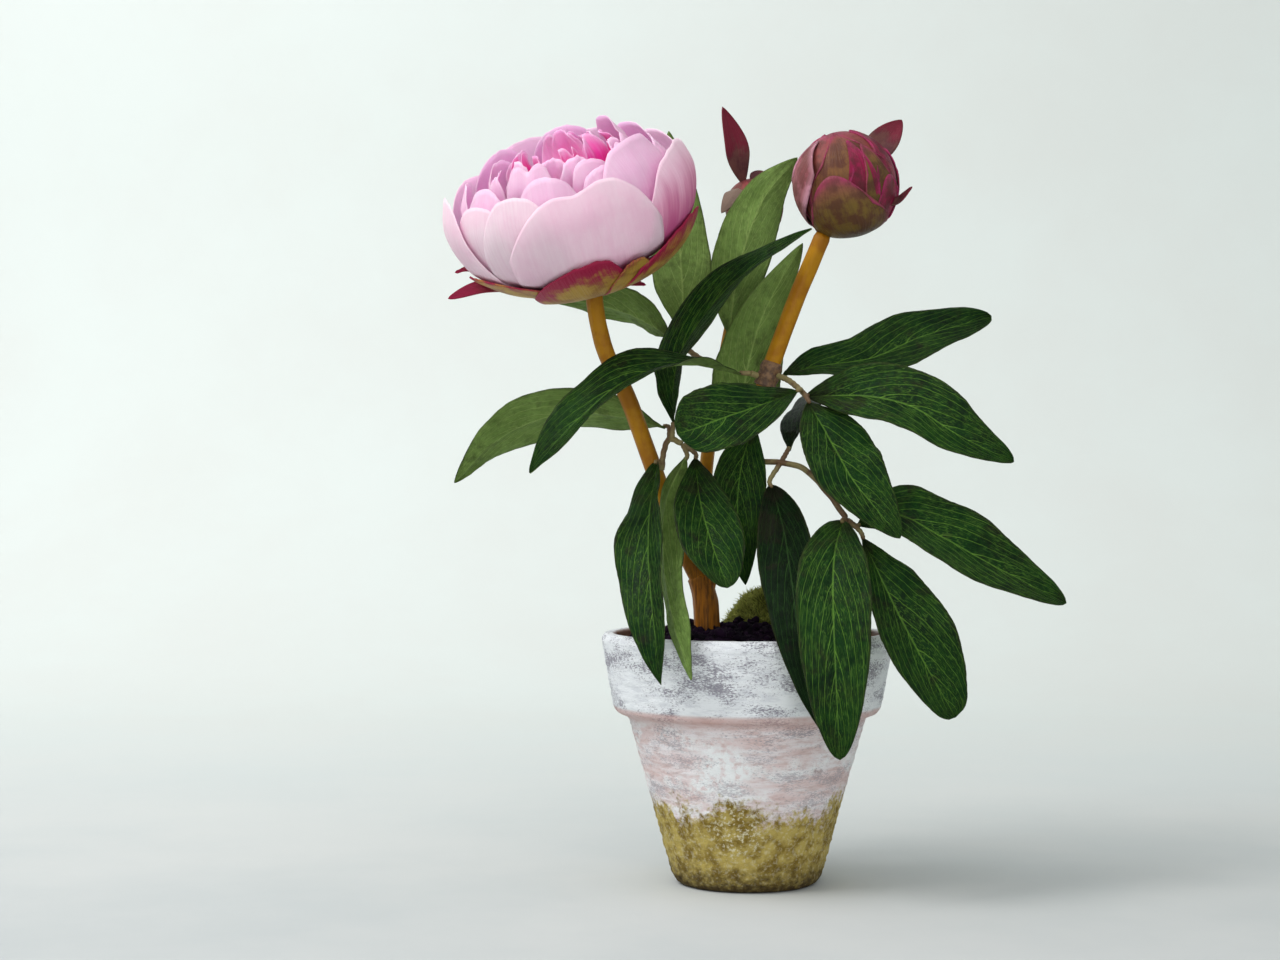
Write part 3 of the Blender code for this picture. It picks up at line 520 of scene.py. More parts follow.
moss_line = maths("ADD", height, scaled(grain(place, 0.06, 3.0), 30.0, -15.0))
moss_edge = scaled(grain(place, 0.4, 5.0, 0.65), 26.0, -13.0)
moss_share = fade(maths("ADD", moss_line, moss_edge), FOOT_MOSS_TOP + 2, FOOT_MOSS_TOP - 5)
pale_crust = mottled(place, 0.7, 0.50, 0.64)
crust_share = scaled(spot(place, (-6, -40, 28), (16, 30, 18)), 0.6, 0.35)
# the moss on the foot turns darker towards the bottom
foot_darkening = fade(maths("ADD", height, moss_edge), 15.0, -2.0)
moss_colour = layered(
    (186, 166, 92),
    (mottled(place, 0.16, 0.38, 0.66), (122, 100, 38)),
    (times(pale_crust, crust_share), (220, 214, 184)),
    (foot_darkening, (66, 52, 26)),
)
radius = length_of(stretch(place, (1, 1, 0)))
inside = times(fade(radius, 58.5, 56.0), fade(height, 98, 102))
colour = layered(
    body,
    (fade(height, 74.8, 76.2), wash),
    (speckles, (136, 132, 144)),
    (times(rust, ragged), (120, 70, 60)),
    (times(under_band, 0.5), (196, 150, 140)),
    (moss_share, moss_colour),
    (inside, (120, 84, 66)),
)
relief = maths("ADD", fine_grain, times(white, 0.4))
relief = maths("ADD", relief, times(moss_share, grain(place, 0.9, 4.0, 0.7)))
surface_finish(shader, colour, relief, 0.5, 0.9)
print("clay finished")

# %% [markdown]
# The pot was thrown or pressed, so it is a turned profile, but it is never quite round and its edges are
# chipped. The profile is rounded at its corners, cut into short steps and turned on a fine grid, and noise
# moves each point by part of a millimetre.

# %% Turn the pot
POT_BAND_BOTTOM = (57.4, 76.0)
POT_RIM_RADIUS = 62.5
POT_HEIGHT = 106.5
POT_INNER_RADIUS = 56.0
POT_PROFILE = [
    (POT_INNER_RADIUS, POT_HEIGHT - 2), (POT_INNER_RADIUS + 0.9, POT_HEIGHT + 0.8),
    (POT_RIM_RADIUS - 0.8, POT_HEIGHT + 0.8), (POT_RIM_RADIUS + 0.1, POT_HEIGHT - 2.5), POT_BAND_BOTTOM,
    (POT_BAND_BOTTOM[0] - 1.5, 73.4), (51.0, 71.6), (32.1, 4.0), (29.6, 0.4), (26.5, 0.0),
    (8.0, 0.0), (8.0, 8.0), (27.5, 8.0), (44.5, 71.5),
]
CORNER = 1.6
PROFILE_STEP = 1.1


def rounded_profile(points, corner, step):
    """A closed profile with rounded corners, cut into steps no longer than step."""
    corners = []
    for before, here, after in zip([points[-1], *points[:-1]], points, [*points[1:], points[0]]):
        here = Vector(here)
        start, end = (
            here + (Vector(other) - here) * min(0.45, corner / (Vector(other) - here).length)
            for other in (before, after)
        )
        corners += [start.lerp(here, t).lerp(here.lerp(end, t), t) for t in (0, 0.25, 0.5, 0.75, 1)]
    line = []
    for here, after in zip(corners, [*corners[1:], corners[0]]):
        count = max(1, ceil((after - here).length / step))
        line += [here.lerp(after, i / count) for i in range(count)]
    return line


profile = rounded_profile(POT_PROFILE, CORNER, PROFILE_STEP)
profile.append(profile[0])


def pot_place(u, v):
    """A point of the worn pot: the turned profile, moved in or out by its chips, ripples and crust."""
    radius, height = profile[round(v * (len(profile) - 1))]
    turn = pi * u
    x, y = cos(turn), sin(turn)
    wobble = 0.35 * ripple(1.2 * x, 1.2 * y, height / 60)
    throwing = 0.10 * sin(height * 1.9 + 2 * x)
    crust = 0.30 * ripple(radius * x / 5, radius * y / 5, height / 3)
    crust += 0.16 * ripple(radius * x / 1.6, radius * y / 1.6, height / 1.2)
    near_edge = max(1 - abs(height - POT_HEIGHT) / 2.5, 1 - abs(height - POT_BAND_BOTTOM[1]) / 2.0, 0.0)
    chip = -1.3 * near_edge * step_up(ripple(9 * x, 9 * y, height / 25), 0.25, 0.6)
    mossy = step_up(FOOT_MOSS_TOP - height, 0, 12)
    growth = 0.5 * mossy * max(0.0, ripple(radius * x / 2.2, radius * y / 2.2, height / 2.2))
    outer = step_up(radius, 22.0, 27.0)
    moved = radius + (wobble + throwing + crust + chip + growth) * outer
    return Vector((moved * x, moved * y, height + (0.3 * chip if height > 50 else 0.0)))


pot = bent_grid("pot_aged", pot_place, 300, len(profile) - 1, [clay], weld=True)
dress(pot, "pot")

# %% [markdown]
# ## Soil and moss
#
# Potting soil is crumbs of every size. One lumpy surface gives the ground, and some hundreds of crumbs,
# each a small ball pushed out of shape, lie half sunk in it. The draws are seeded, so every run agrees.

# %% Spread the soil
SOIL_TOP = 109.5
SOIL_EDGE_TOP = 102.0
SOIL_LUMPS = 1.3
SOIL_EDGE = 55.0
SOIL_FOOT_RADIUS = 27.5
SOIL_FOOT = 9.0
SOIL_TOP_SHARE = 0.8  # of the soil's grid, the rest being its skirt and its foot
SKIRT_SHARE = 0.7  # of that rest
CRUMBS = 800
CRUMB_GRAIN = 1.1  # between two bumps of a crumb
CRUMB_ROUGHNESS = 0.55  # the height of its bumps

earth, shader, place = new_material("potting_soil", 0.95, Specular_IOR_Level=0.1)
patches = mottled(place, 0.12, 0.4, 0.6)
specks = times(mottled(place, 0.7, 0.60, 0.72), 0.5)
colour = layered((14, 6, 18), (patches, (34, 18, 38)), (specks, (84, 58, 80)))
surface_finish(shader, colour, grain(place, 1.4, 4.0, 0.7), 0.6, 0.8)


def soil_height(x, y):
    """The height of the lumpy domed soil."""
    share = min(1.0, hypot(x, y) / SOIL_EDGE)
    dome = SOIL_TOP - (SOIL_TOP - SOIL_EDGE_TOP) * share**2
    lumps = sin(0.41 * x + 1.3) * cos(0.37 * y) + 0.6 * sin(0.83 * x - 0.71 * y)
    return dome + SOIL_LUMPS * lumps * (1 - share**6)


def soil_place(u, v):
    """The top of the soil, then its skirt inside the pot's wall, and its flat foot."""
    turn = pi * u
    if v < SOIL_TOP_SHARE:
        radius = SOIL_EDGE * v / SOIL_TOP_SHARE
        x, y = radius * cos(turn), radius * sin(turn)
        crumbs = 0.9 * ripple(x / 2.4, y / 2.4) + 0.5 * ripple(x / 1.1, y / 1.1, 4)
        crumbs *= step_up(radius, 0, 6) * step_up(55.5 - radius, 0, 3)
        return Vector((x, y, soil_height(x, y) + crumbs))
    low = (v - SOIL_TOP_SHARE) / (1 - SOIL_TOP_SHARE)
    down = min(1.0, low / SKIRT_SHARE)
    radius = SOIL_EDGE + (SOIL_FOOT_RADIUS - SOIL_EDGE) * down
    if down == 1:
        radius = SOIL_FOOT_RADIUS * max(0.0, 1 - low) / (1 - SKIRT_SHARE)
    height = SOIL_EDGE_TOP + (SOIL_FOOT - SOIL_EDGE_TOP) * down
    return polar(radius, turn, height)


soil = bent_grid("soil_bed", soil_place, 180, 100, [earth], weld=True)
draw = random.Random(21)
bm = bmesh.new()
for number in range(CRUMBS):
    radius = draw.uniform(0.6, 1.8) if draw.random() < 0.9 else draw.uniform(1.8, 3.0)
    far = (SOIL_EDGE - radius) * sqrt(draw.random())
    turn = draw.uniform(0, 2 * pi)
    x, y = far * cos(turn), far * sin(turn)
    centre = Vector((x, y, soil_height(x, y) + draw.uniform(-0.2, 0.6) * radius)) * MM
    tilt = Matrix.Rotation(draw.uniform(0, 3), 4, Vector((draw.random(), draw.random(), 1)))
    form = Matrix.Diagonal((1, draw.uniform(0.6, 1), draw.uniform(0.5, 0.9), 1))
    bmesh.ops.create_icosphere(
        bm, subdivisions=2, radius=radius * MM, matrix=Matrix.Translation(centre) @ tilt @ form
    )
for vert in bm.verts:
    at = vert.co / (CRUMB_GRAIN * MM)
    pushed = Vector((ripple(*at), ripple(*at.yzx), ripple(*at.zxy)))
    vert.co += pushed * CRUMB_ROUGHNESS * MM
for face in bm.faces:
    face.smooth = True
mesh = bpy.data.meshes.new("crumbs")
bm.to_mesh(mesh)
bm.free()
dress(join("soil_bed", [soil, put("crumbs", mesh, [earth])]), "soil")

# %% [markdown]
# The moss is a cushion of thousands of short green fibres. Hair would be lost in the export, so each fibre
# is a small three-sided spike with a bend in it, and they all stand on a lumpy dome.

# %% Grow the moss
MOSS_CENTRE = (15.0, 25.0)
MOSS_RADIUS = (22.8, 17.1)
MOSS_BOTTOM = 103.8
MOSS_HEIGHT = 20.925
MOSS_TOP_SHARE = 0.8  # of the dome's grid, the rest being its foot
THIRDS = (0, 2.094, 4.189)  # the angles of a fibre's three sides
FIBRES = 6400
FIBRE_WIDTH = 0.28

moss_green, shader, place = new_material("moss", 0.95, Specular_IOR_Level=0.1)
tips = tone_of(moss_green.node_tree)
patches = mottled(place, 0.15, 0.38, 0.62)
deep = mix(patches, (110, 118, 52), (84, 86, 42))
bright = mix(patches, (196, 200, 112), (160, 166, 84))
surface_finish(shader, mix(tips, deep, bright), grain(place, 2.0), 0.3, 0.4)


def moss_dome(out, reach=1.0):
    """A point of the cushion in the direction out, on a lumpy dome."""
    lump = 1 + 0.10 * ripple(3 * out.x, 3 * out.y, 3 * out.z) + 0.05 * ripple(8 * out.x, 8 * out.y, 8)
    lump *= reach
    x = MOSS_CENTRE[0] + out.x * MOSS_RADIUS[0] * lump
    y = MOSS_CENTRE[1] + out.y * MOSS_RADIUS[1] * lump
    return Vector((x, y, MOSS_BOTTOM + max(0.0, out.z) * MOSS_HEIGHT * lump))


def moss_place(u, v):
    """The dome itself, closed at its top and by a flat foot."""
    rise = pi / 2 * min(1.0, v / MOSS_TOP_SHARE)
    aside = polar(1, pi * u)
    if v <= MOSS_TOP_SHARE:
        return moss_dome(aside * sin(rise) + Vector((0, 0, cos(rise))))
    share = (v - MOSS_TOP_SHARE) / (1 - MOSS_TOP_SHARE)
    return moss_dome(aside).lerp(Vector((*MOSS_CENTRE, MOSS_BOTTOM)), share)


moss = bent_grid("moss_fuzz", moss_place, 72, 30, [moss_green], weld=True)
draw = random.Random(11)
corners, faces, tones = [], [], []
golden = pi * (3 - sqrt(5))
for number in range(FIBRES):
    rise = (number + 0.5) / FIBRES
    flat = sqrt(1 - rise * rise)
    out = polar(flat, number * golden, rise)
    foot = moss_dome(out, 0.97)
    lean = Vector([draw.uniform(-0.7, 0.7) for _ in range(3)]) + Vector((0, 0, 0.4))
    heading = (out + lean).normalized()
    reach = draw.uniform(1.3, 2.6) + 2.4 * draw.random() ** 3
    middle = foot + heading * reach * 0.55
    bent = (heading + Vector([draw.uniform(-0.6, 0.6) for _ in range(3)])).normalized()
    tip = middle + bent * reach * 0.5
    first = heading.orthogonal().normalized()
    second = heading.cross(first)
    start = len(corners)
    for centre, width in ((foot, FIBRE_WIDTH), (middle, 0.7 * FIBRE_WIDTH)):
        for angle in THIRDS:
            corners.append((centre + (first * cos(angle) + second * sin(angle)) * width) * MM)
    corners.append(tip * MM)
    tones += [0.0] * 3 + [0.6] * 3 + [1.0]
    faces.append((start + 2, start + 1, start))
    for i in range(3):
        j = (i + 1) % 3
        faces.append((start + i, start + j, start + 3 + j, start + 3 + i))
        faces.append((start + 3 + i, start + 3 + j, start + 6))
mesh = bpy.data.meshes.new("fibres")
mesh.from_pydata(corners, [], faces)
dress(join("moss_fuzz", [moss, put("fibres", mesh, [moss_green], tones)]), "moss")

# %% [markdown]
# ## Stems and leaf stalks
#
# The stems are moulded over wire: smooth and ochre above, darker and fluted where the thick trunk goes into
# the soil. Each is a round bar along a curve, and a formula adds the flutes to its radius.

# %% Mould the stems
TRUNK_ROUTE = [(-17.5, -3, 72), (-17.5, -3, 112), (-18.5, -3, 124), (-21, -3, 132)]
BLOOM_STEM_ROUTE = [
    (-19, -3, 126), (-28, -5, 145), (-40, -7, 177), (-51, -9, 207), (-59.5, -10, 224.5),
    (-63.3, -10.2, 237), (-65.1, -11, 248), (-65.4, -12.3, 254.4),
]
BUD_STEM_ROUTE = [
    (-18, -3, 124), (-13, -4, 150), (-4, -5, 178), (8, -7, 215), (20, -9, 248), (32.6, -12.5, 278.5),
]
BACK_STEM_ROUTE = [
    (-20, -1, 126), (-19, 5, 148), (-16, 12, 188), (-7.5, 21, 232), (0, 31, 266), (2.9, 35.9, 280.7),
]
CUFF_ROUTE = [(7, -6.8, 212), (8.9, -7.2, 217.5), (10.8, -7.5, 223.5)]

orange, shader, place = new_material("stem_moulding", 0.5, Specular_IOR_Level=0.2)
height = height_of(place)
long_streaks = grain(stretch(place, (1.0, 1.0, 0.06)), 0.9, 4.0, 0.65)
patches = mottled(place, 0.06, 0.42, 0.62)
upper = mix(patches, (172, 120, 8), (150, 96, 8))
lower = mix(fade(long_streaks, 0.38, 0.62), (164, 100, 14), (92, 55, 10))
low_share = fade(scaled(long_streaks, 30.0, height), 172.0, 138.0)
colour = layered(upper, (low_share, lower), (fade(long_streaks, 0.56, 0.72, 0.0, 0.5), (150, 88, 26)))
surface_finish(shader, colour, long_streaks, 0.35, 0.8)

brown, shader, place = new_material("stem_cuff", 0.6)
patches = mottled(place, 0.5, 0.4, 0.6)
colour = mix(patches, (124, 92, 62), (84, 60, 44))
surface_finish(shader, colour, grain(stretch(place, (1, 1, 0.3)), 1.6), 0.4, 0.8)


def flutes(count, twist, depth, lumps, size, along):
    """A relief for a bar: count flutes that twist as they rise, and lumps of a size round and along it."""

    def relief(turn, share):
        lump = ripple(size * cos(turn), size * sin(turn), along * share)
        return depth * sin(count * turn + twist * share) + lumps * lump

    return relief


trunk_flutes = flutes(7, 2.5, 0.14, 0.30, 2, 5)
stem_flutes = flutes(5, 3, 0.10, 0.14, 1.5, 14)
bars = [
    bar("trunk", TRUNK_ROUTE, (5.7, 5.1), 40, 44, orange, trunk_flutes),
    bar("bloom_stem", BLOOM_STEM_ROUTE, (3.7, 3.6), 28, 90, orange, stem_flutes),
    bar("bud_stem", BUD_STEM_ROUTE, (3.7, 3.6), 28, 90, orange, stem_flutes),
    bar("back_stem", BACK_STEM_ROUTE, (3.0, 2.9), 24, 80, orange, stem_flutes),
    bar("cuff", CUFF_ROUTE, (4.9, 4.5), 32, 20, brown, lambda turn, share: 0.25 * sin(share * 19)),
]
dress(join("stems_moulded", bars), "stems")

# %% [markdown]
# ## The leaves
#
# Each leaf is dark green cloth, pressed in a mould that sinks its veins, and paler and more olive below.
# The veins are drawn by the place across and along the leaf, so they bend with it, and one function makes
# the upper side, the under side and a darker copy of the upper side: painted shade for the leaves that hang
# in shade.

# %% Finish the leaf cloth
def leaf_material(name, greens, vein_green, brown_share, roughness):
    """Printed and pressed leaf cloth, browned by up to brown_share in places, most near its root."""
    material, shader, place = new_material(name, roughness, Specular_IOR_Level=0.1)
    across, along, tone = leaf_shares(material.node_tree)
    lines = use(veins, {"Across": across, "Along": along, "Shift": tone})
    near_root = fade(along, 0.45, 0.0, 0.0, 0.16)
    browned = fade(maths("ADD", grain(place, 0.09, 4.0, 0.65), near_root), 0.56, 0.72, 0.0, brown_share)
    printed = scaled(mottled(place, 0.10, 0.34, 0.56), 0.24, 0.05)
    colour = layered(
        greens[0],
        (mottled(place, 0.06, 0.35, 0.65), greens[1]),
        (times(mottled(place, 0.4, 0.4, 0.66), 0.5), greens[2]),
        (times(lines["Net"], printed), vein_green),
        (times(lines["Side veins"], 0.55), vein_green),
        (times(lines["Midrib"], 0.45), vein_green),
        (browned, (38, 30, 24)),
        (times(lines["Edge"], 0.4), (60, 62, 36)),
    )
    cloth = use(weave, {"Place": place, "Threads": 0.55})["Height"]
    sunk = maths("ADD", lines["Side veins"], times(lines["Net"], 0.5))
    surface_finish(shader, colour, maths("SUBTRACT", times(cloth, 0.2), sunk), 0.30, 0.8)
    return material


leaf_top = leaf_material(
    "leaf_upper_side", ((8, 46, 12), (3, 26, 10), (16, 60, 16)), (108, 152, 58), 0.5, 0.4
)
leaf_under = leaf_material(
    "leaf_under_side", ((120, 150, 76), (100, 128, 60), (74, 98, 46)), (160, 184, 106), 0.4, 0.6
)
# painted shade: a darker copy of the upper side, for the leaves that hang in shade
leaf_painted_shade = leaf_material(
    "leaf_upper_side_painted_shade", ((6, 28, 9), (3, 16, 6), (10, 38, 11)), (56, 92, 40), 0.5, 0.45
)
LEAVES_IN_PAINTED_SHADE = ["leaf_low_shaded", "leaf_right_hidden"]
print("leaf cloth ready")

# %% [markdown]
# A leaf's shape is a strip hung on a curved midrib, folded a little along it, waved at its edges and
# pleated between the veins. All twenty come from one function and a table of how each one hangs.

# %% Hang the leaves
LEAVES = {
    "leaf_left_long": dict(
        midrib=[(-35, -2, 195.5), (-55, 8, 200.5), (-82.5, 14, 201.5), (-108.5, 16, 190),
                (-127, 15, 171.5)],
        halves=(16, 13), faces=[(0, 0.65, 0.75), (-0.3, 0.65, 0.65)], fold=0.16, wave=0.10),
    "leaf_left_front": dict(
        midrib=[(-2.5, -13, 218), (-25, -30, 221), (-50.5, -42, 214.5), (-72.5, -48, 196.5),
                (-91, -50, 175.5)],
        halves=(12, 11), faces=[(0, -0.15, 1), (-0.5, -0.8, 0.3)], fold=0.35, belly=0.56),
    "leaf_under_bloom": dict(
        midrib=[(-31.5, 26, 235.5), (-46, 33, 244.5), (-66, 40, 251.5), (-99, 45, 256)],
        halves=(13, 13), faces=[(0, 0.6, 0.8), (0, 0.6, 0.8)], fold=0.18, belly=0.45),
    "leaf_behind_bloom": dict(
        midrib=[(-28, 26, 238), (-27, 31, 254.5), (-28, 38, 273), (-29.5, 45, 302), (-33, 49, 330)],
        halves=(13.5, 13.5), faces=[(0.2, 0.95, 0.2), (-0.1, 0.9, 0.3)], fold=0.16, belly=0.42),
    "leaf_crown_back": dict(
        midrib=[(-6.5, 17.8, 234.5), (-5, 19, 252), (-1, 19, 272), (8, 17, 295.5), (22.5, 13, 313)],
        halves=(13, 12.5), faces=[(0.1, 0.95, 0.1), (0.2, 0.9, 0.3)], fold=0.14, wave=0.06),
    "leaf_crown_low": dict(
        midrib=[(0, -1.7, 193), (-1, 3, 209.5), (1.5, 4, 225.5), (8.5, 3, 247), (24, 1, 274.5)],
        halves=(15, 15), faces=[(0, 0.95, 0.1), (0.3, 0.9, 0.2)], fold=0.16, wave=0.06, belly=0.36,
        base=0.8),
    "leaf_crown_front": dict(
        midrib=[(-32, -9, 196), (-32, -10, 213), (-27.5, -11, 230), (-6, -16, 257), (26, -24, 278)],
        halves=(12, 12), faces=[(-0.8, -0.6, 0.1), (-0.55, -0.5, 0.6)], fold=0.24, belly=0.55),
    "leaf_centre_front": dict(
        midrib=[(20, -31.5, 210), (5, -47, 204), (-11.5, -60, 198), (-23, -68, 193.5), (-31, -72, 191)],
        halves=(14.5, 14.5), faces=[(0.45, -0.6, 0.6), (0.45, -0.75, 0.5)], wave=0.10, belly=0.6,
        tip=0.42),
    "leaf_left_down": dict(
        midrib=[(-39, -12, 180.5), (-42, -30, 160), (-42.5, -46, 139), (-40.5, -58, 116),
                (-37.5, -67, 90.5)],
        halves=(13, 9), faces=[(-0.6, -0.7, 0.3), (-0.5, -0.85, 0.1)], fold=0.30, wave=0.12, base=0.6),
    "leaf_left_narrow": dict(
        midrib=[(-26.5, -15, 182), (-34.5, -23, 164), (-36, -38, 139.5), (-32.5, -56.5, 116),
                (-25.5, -67.5, 92.5)],
        halves=(9, 9), faces=[(0.45, 0.6, 0.5), (0.6, 0.75, 0.2)], fold=0.25, wave=0.06, base=0.7),
    "leaf_middle_down": dict(
        midrib=[(-22.5, -15, 182.5), (-21, -30, 164.5), (-16.5, -46, 146.5), (-10.5, -58, 129)],
        halves=(13.5, 13.5), faces=[(0, -0.8, 0.5), (0.15, -0.85, 0.4)], fold=0.15, belly=0.58, tip=0.5),
    "leaf_middle_back": dict(
        midrib=[(2.75, -10.05, 197), (-3, -17, 179), (-5, -23, 158), (-2, -31, 129)],
        halves=(11.5, 11.5), faces=[(0.1, -0.95, 0.2), (0.1, -0.95, 0.2)], fold=0.2),
    "leaf_right_back": dict(
        midrib=[(14.1, -6.3, 217), (29, -1, 221.5), (53.5, 6, 225.5), (78, 13, 235.5), (108, 20, 244.5)],
        halves=(14, 14), faces=[(0, -0.6, 0.8), (0.1, -0.75, 0.6)], wave=0.06, belly=0.62, tip=0.5),
    "leaf_right_front": dict(
        midrib=[(23.5, -27, 208), (45, -38, 207.5), (65, -45, 203), (85, -49, 190.5), (106.5, -50, 180)],
        halves=(13, 16), faces=[(0, -0.85, 0.5), (0.15, -0.9, 0.4)], fold=0.14, belly=0.42, base=0.7,
        tip=0.66),
    "leaf_right_down": dict(
        midrib=[(24, -33, 205.5), (32.5, -44, 188.5), (41, -52, 172.5), (59, -60, 149)],
        halves=(16, 16), faces=[(0.2, -0.8, 0.5), (0.2, -0.9, 0.3)], wave=0.06, belly=0.48, base=0.8,
        tip=0.66),
    "leaf_low_shaded": dict(
        midrib=[(9, -25, 170.5), (13, -42, 152.5), (15.5, -56, 132), (18.5, -69, 104.5), (27, -73, 71)],
        halves=(12, 12), faces=[(-0.35, -0.9, 0.3), (-0.5, -0.85, 0.1)], fold=0.2, wave=0.06, belly=0.4,
        base=0.7),
    "leaf_low_front": dict(
        midrib=[(37, -47, 156), (32.5, -61, 142.5), (31, -72, 124.5), (31.5, -79, 93.5), (33, -80, 62)],
        halves=(15, 15), faces=[(0, -0.85, 0.5), (0, -0.98, 0.15)], wave=0.06, base=0.6,
        tip=0.56),
    "leaf_low_right": dict(
        midrib=[(45, -48, 149.5), (52, -54, 133), (60, -56, 116), (70.5, -55, 96.5), (82.5, -52, 76)],
        halves=(13.5, 18), faces=[(0.2, -0.85, 0.4), (0.25, -0.9, 0.2)], belly=0.58, tip=0.42),
    "leaf_far_right": dict(
        midrib=[(43.5, -43, 154), (60, -46, 158), (77.5, -46, 149.5), (102, -42, 136),
                (130.5, -36, 121.5)],
        halves=(14, 17), faces=[(0.1, -0.75, 0.6), (0.25, -0.8, 0.5)], base=0.8, tip=0.6),
    "leaf_right_hidden": dict(
        midrib=[(16.5, -18, 185.5), (22, -6, 196), (31.5, 12, 206), (42, 45, 211), (50, 80, 208)],
        halves=(12, 12), faces=[(-0.7, -0.3, 0.6), (-0.2, -0.3, 0.95)], fold=0.16),
}
LEAF_CLOTH = 0.35
LEAF_ACROSS = 26
LEAF_ALONG = 76


def leaf_outline(t, belly, base, tip):
    """A half's width at share t of the leaf's length, as a share of its greatest width, at the belly."""
    if t < belly:
        return sin(pi / 2 * t / belly) ** base
    return cos(pi / 2 * (t - belly) / (1 - belly)) ** tip


def pressed_veins(u, t, half):
    """How far the mould lifts the cloth at a place: a sunk midrib, and a pleat between two side veins."""
    out = abs(u)
    midrib = -0.8 * exp(-((u * half / 0.9) ** 2)) * (1 - t)
    line = t - VEIN_SWEEP * out**VEIN_CURVE + copysign(VEIN_STEP / 4, u)
    pleat = abs(sin(pi * line / VEIN_STEP)) ** 0.7 - 0.6
    return midrib + 0.42 * pleat * step_up(out, 0.03, 0.25) * (1 - out**8) * min(1.0, half / 6)


def leaf_surface(
    midrib, halves, faces, fold=0.12, wave=0.08, belly=0.5, base=1.0, tip=0.8, seed=0.0, crimp=1.0
):
    """The leaf's middle surface: a folded, waved and pleated strip hung on its midrib."""
    stalk_half, step = 0.7, 0.01

    def surface(u, v):
        t = v - sin(2 * pi * v) / 20
        place = smooth_point(midrib, t)
        ahead = smooth_point(midrib, min(1.0, t + step)) - smooth_point(midrib, max(0.0, t - step))
        ahead.normalize()
        side = ahead.cross(Vector(faces[0]).lerp(Vector(faces[1]), t)).normalized()
        up = side.cross(ahead)
        full = halves[0] if u > 0 else halves[1]
        full *= 1 + crimp * (0.03 * ripple(9 * t, seed, u > 0) + 0.012 * ripple(50 * t, seed, u > 0))
        narrowest = stalk_half * min(1.0, 15 * (1 - t))
        half = max(narrowest, full * leaf_outline(min(t, 1.0), belly, base, tip))
        lift = fold * abs(u) * half + wave * half * u * u * sin(14.5 * t + 1.7 * u)
        crumple = pressed_veins(u, t, half) + abs(u) ** 1.5 * ripple(9 * t, 2 * u, seed)
        crumple += 0.6 * ripple(5 * t, 1.5 * u, seed + 2) + 0.25 * ripple(30 * t, u * half / 3, seed + 5)
        lift += crimp * (crumple + 0.10 * half * abs(u))
        return place + side * (u * half) + up * lift

    return surface


for number, (name, spec) in enumerate(LEAVES.items()):
    surface = leaf_surface(**spec, seed=1.7 * number)
    # the leaves in shade take the darker copy, painted shade
    upper_side = leaf_painted_shade if name in LEAVES_IN_PAINTED_SHADE else leaf_top
    sides = [upper_side, leaf_under]
    leaf = bent_grid(name + "_cloth", surface, LEAF_ACROSS, LEAF_ALONG, sides, 0.31 * number)
    dress(thicken(leaf, LEAF_CLOTH), name)

# %% [markdown]
# The leaf stalks are thin olive wires, wrapped in paper. Each runs from a stem to the knot where its leaves
# meet, and a twig joins the stalk's nearest place to each leaf, so the leaves' own table gives the twigs'
# ends.

# %% Bend the stalks
STALK_RADIUS = 1.25
TWIG_TAPER = (0.92, 0.68)
TWIG_REACH = 1.5  # into its leaf
TWIG_BEND = 0.35
KNOTS = 24
STALKS = {
    "stalk_left": (
        [(-36.7, -11.1, 176.5), (-36, -9.5, 184), (-33.5, -7.5, 190), (-28, -12, 188)],
        ["leaf_left_long", "leaf_crown_front", "leaf_left_down", "leaf_left_narrow", "leaf_middle_down"],
    ),
    "stalk_upper_left": (
        [(-13.05, 19.65, 222.8), (-18, 22, 225), (-25, 25, 230)], ["leaf_under_bloom", "leaf_behind_bloom"]
    ),
    "stalk_front": ([(4.1, -9.65, 217), (1, -11.5, 218)], ["leaf_left_front"]),
    "stalk_right": (
        [(12.45, -10.95, 217), (17, -18, 214.5), (21.5, -26, 210)],
        ["leaf_right_front", "leaf_right_down", "leaf_centre_front"],
    ),
    "stalk_lower_right": (
        [(-0.8, -9.1, 180), (6, -14, 180.5), (21, -28, 178), (31, -38, 168), (39, -44, 156.5)],
        ["leaf_low_shaded", "leaf_right_hidden", "leaf_low_front", "leaf_low_right", "leaf_far_right"],
    ),
}
stalk_wrap, shader, place = new_material("leaf_stalk", 0.6)
patches = mottled(place, 0.09, 0.42, 0.6)
colour = mix(patches, (134, 122, 78), (104, 78, 52))
rings = grain(stretch(place, (0.3, 0.3, 1.6)), 1.2)
surface_finish(shader, colour, rings, 0.3, 0.7)


def wrapped(turn, share):
    """The ridge of the paper wound round a stalk."""
    return 0.10 * sin(turn + 40 * share)


for name, (route, leaves) in STALKS.items():
    pieces = [bar(name, route, (STALK_RADIUS, STALK_RADIUS), 16, 14 * len(route), stalk_wrap, wrapped)]
    knots = [smooth_point(route, i / KNOTS) for i in range(KNOTS + 1)]
    for leaf in leaves:
        base, beyond = (Vector(p) for p in LEAVES[leaf]["midrib"][:2])
        ahead = (beyond - base).normalized()
        end = base + ahead * TWIG_REACH
        start = min(knots, key=lambda p: (p - end).length)
        bend = end - ahead * TWIG_BEND * (end - start).length
        radii = [STALK_RADIUS * share for share in TWIG_TAPER]
        pieces.append(bar(leaf + "_twig", [start, bend, end], radii, 14, 20, stalk_wrap, wrapped))
    dress(join(name + "_wrapped", pieces), name)
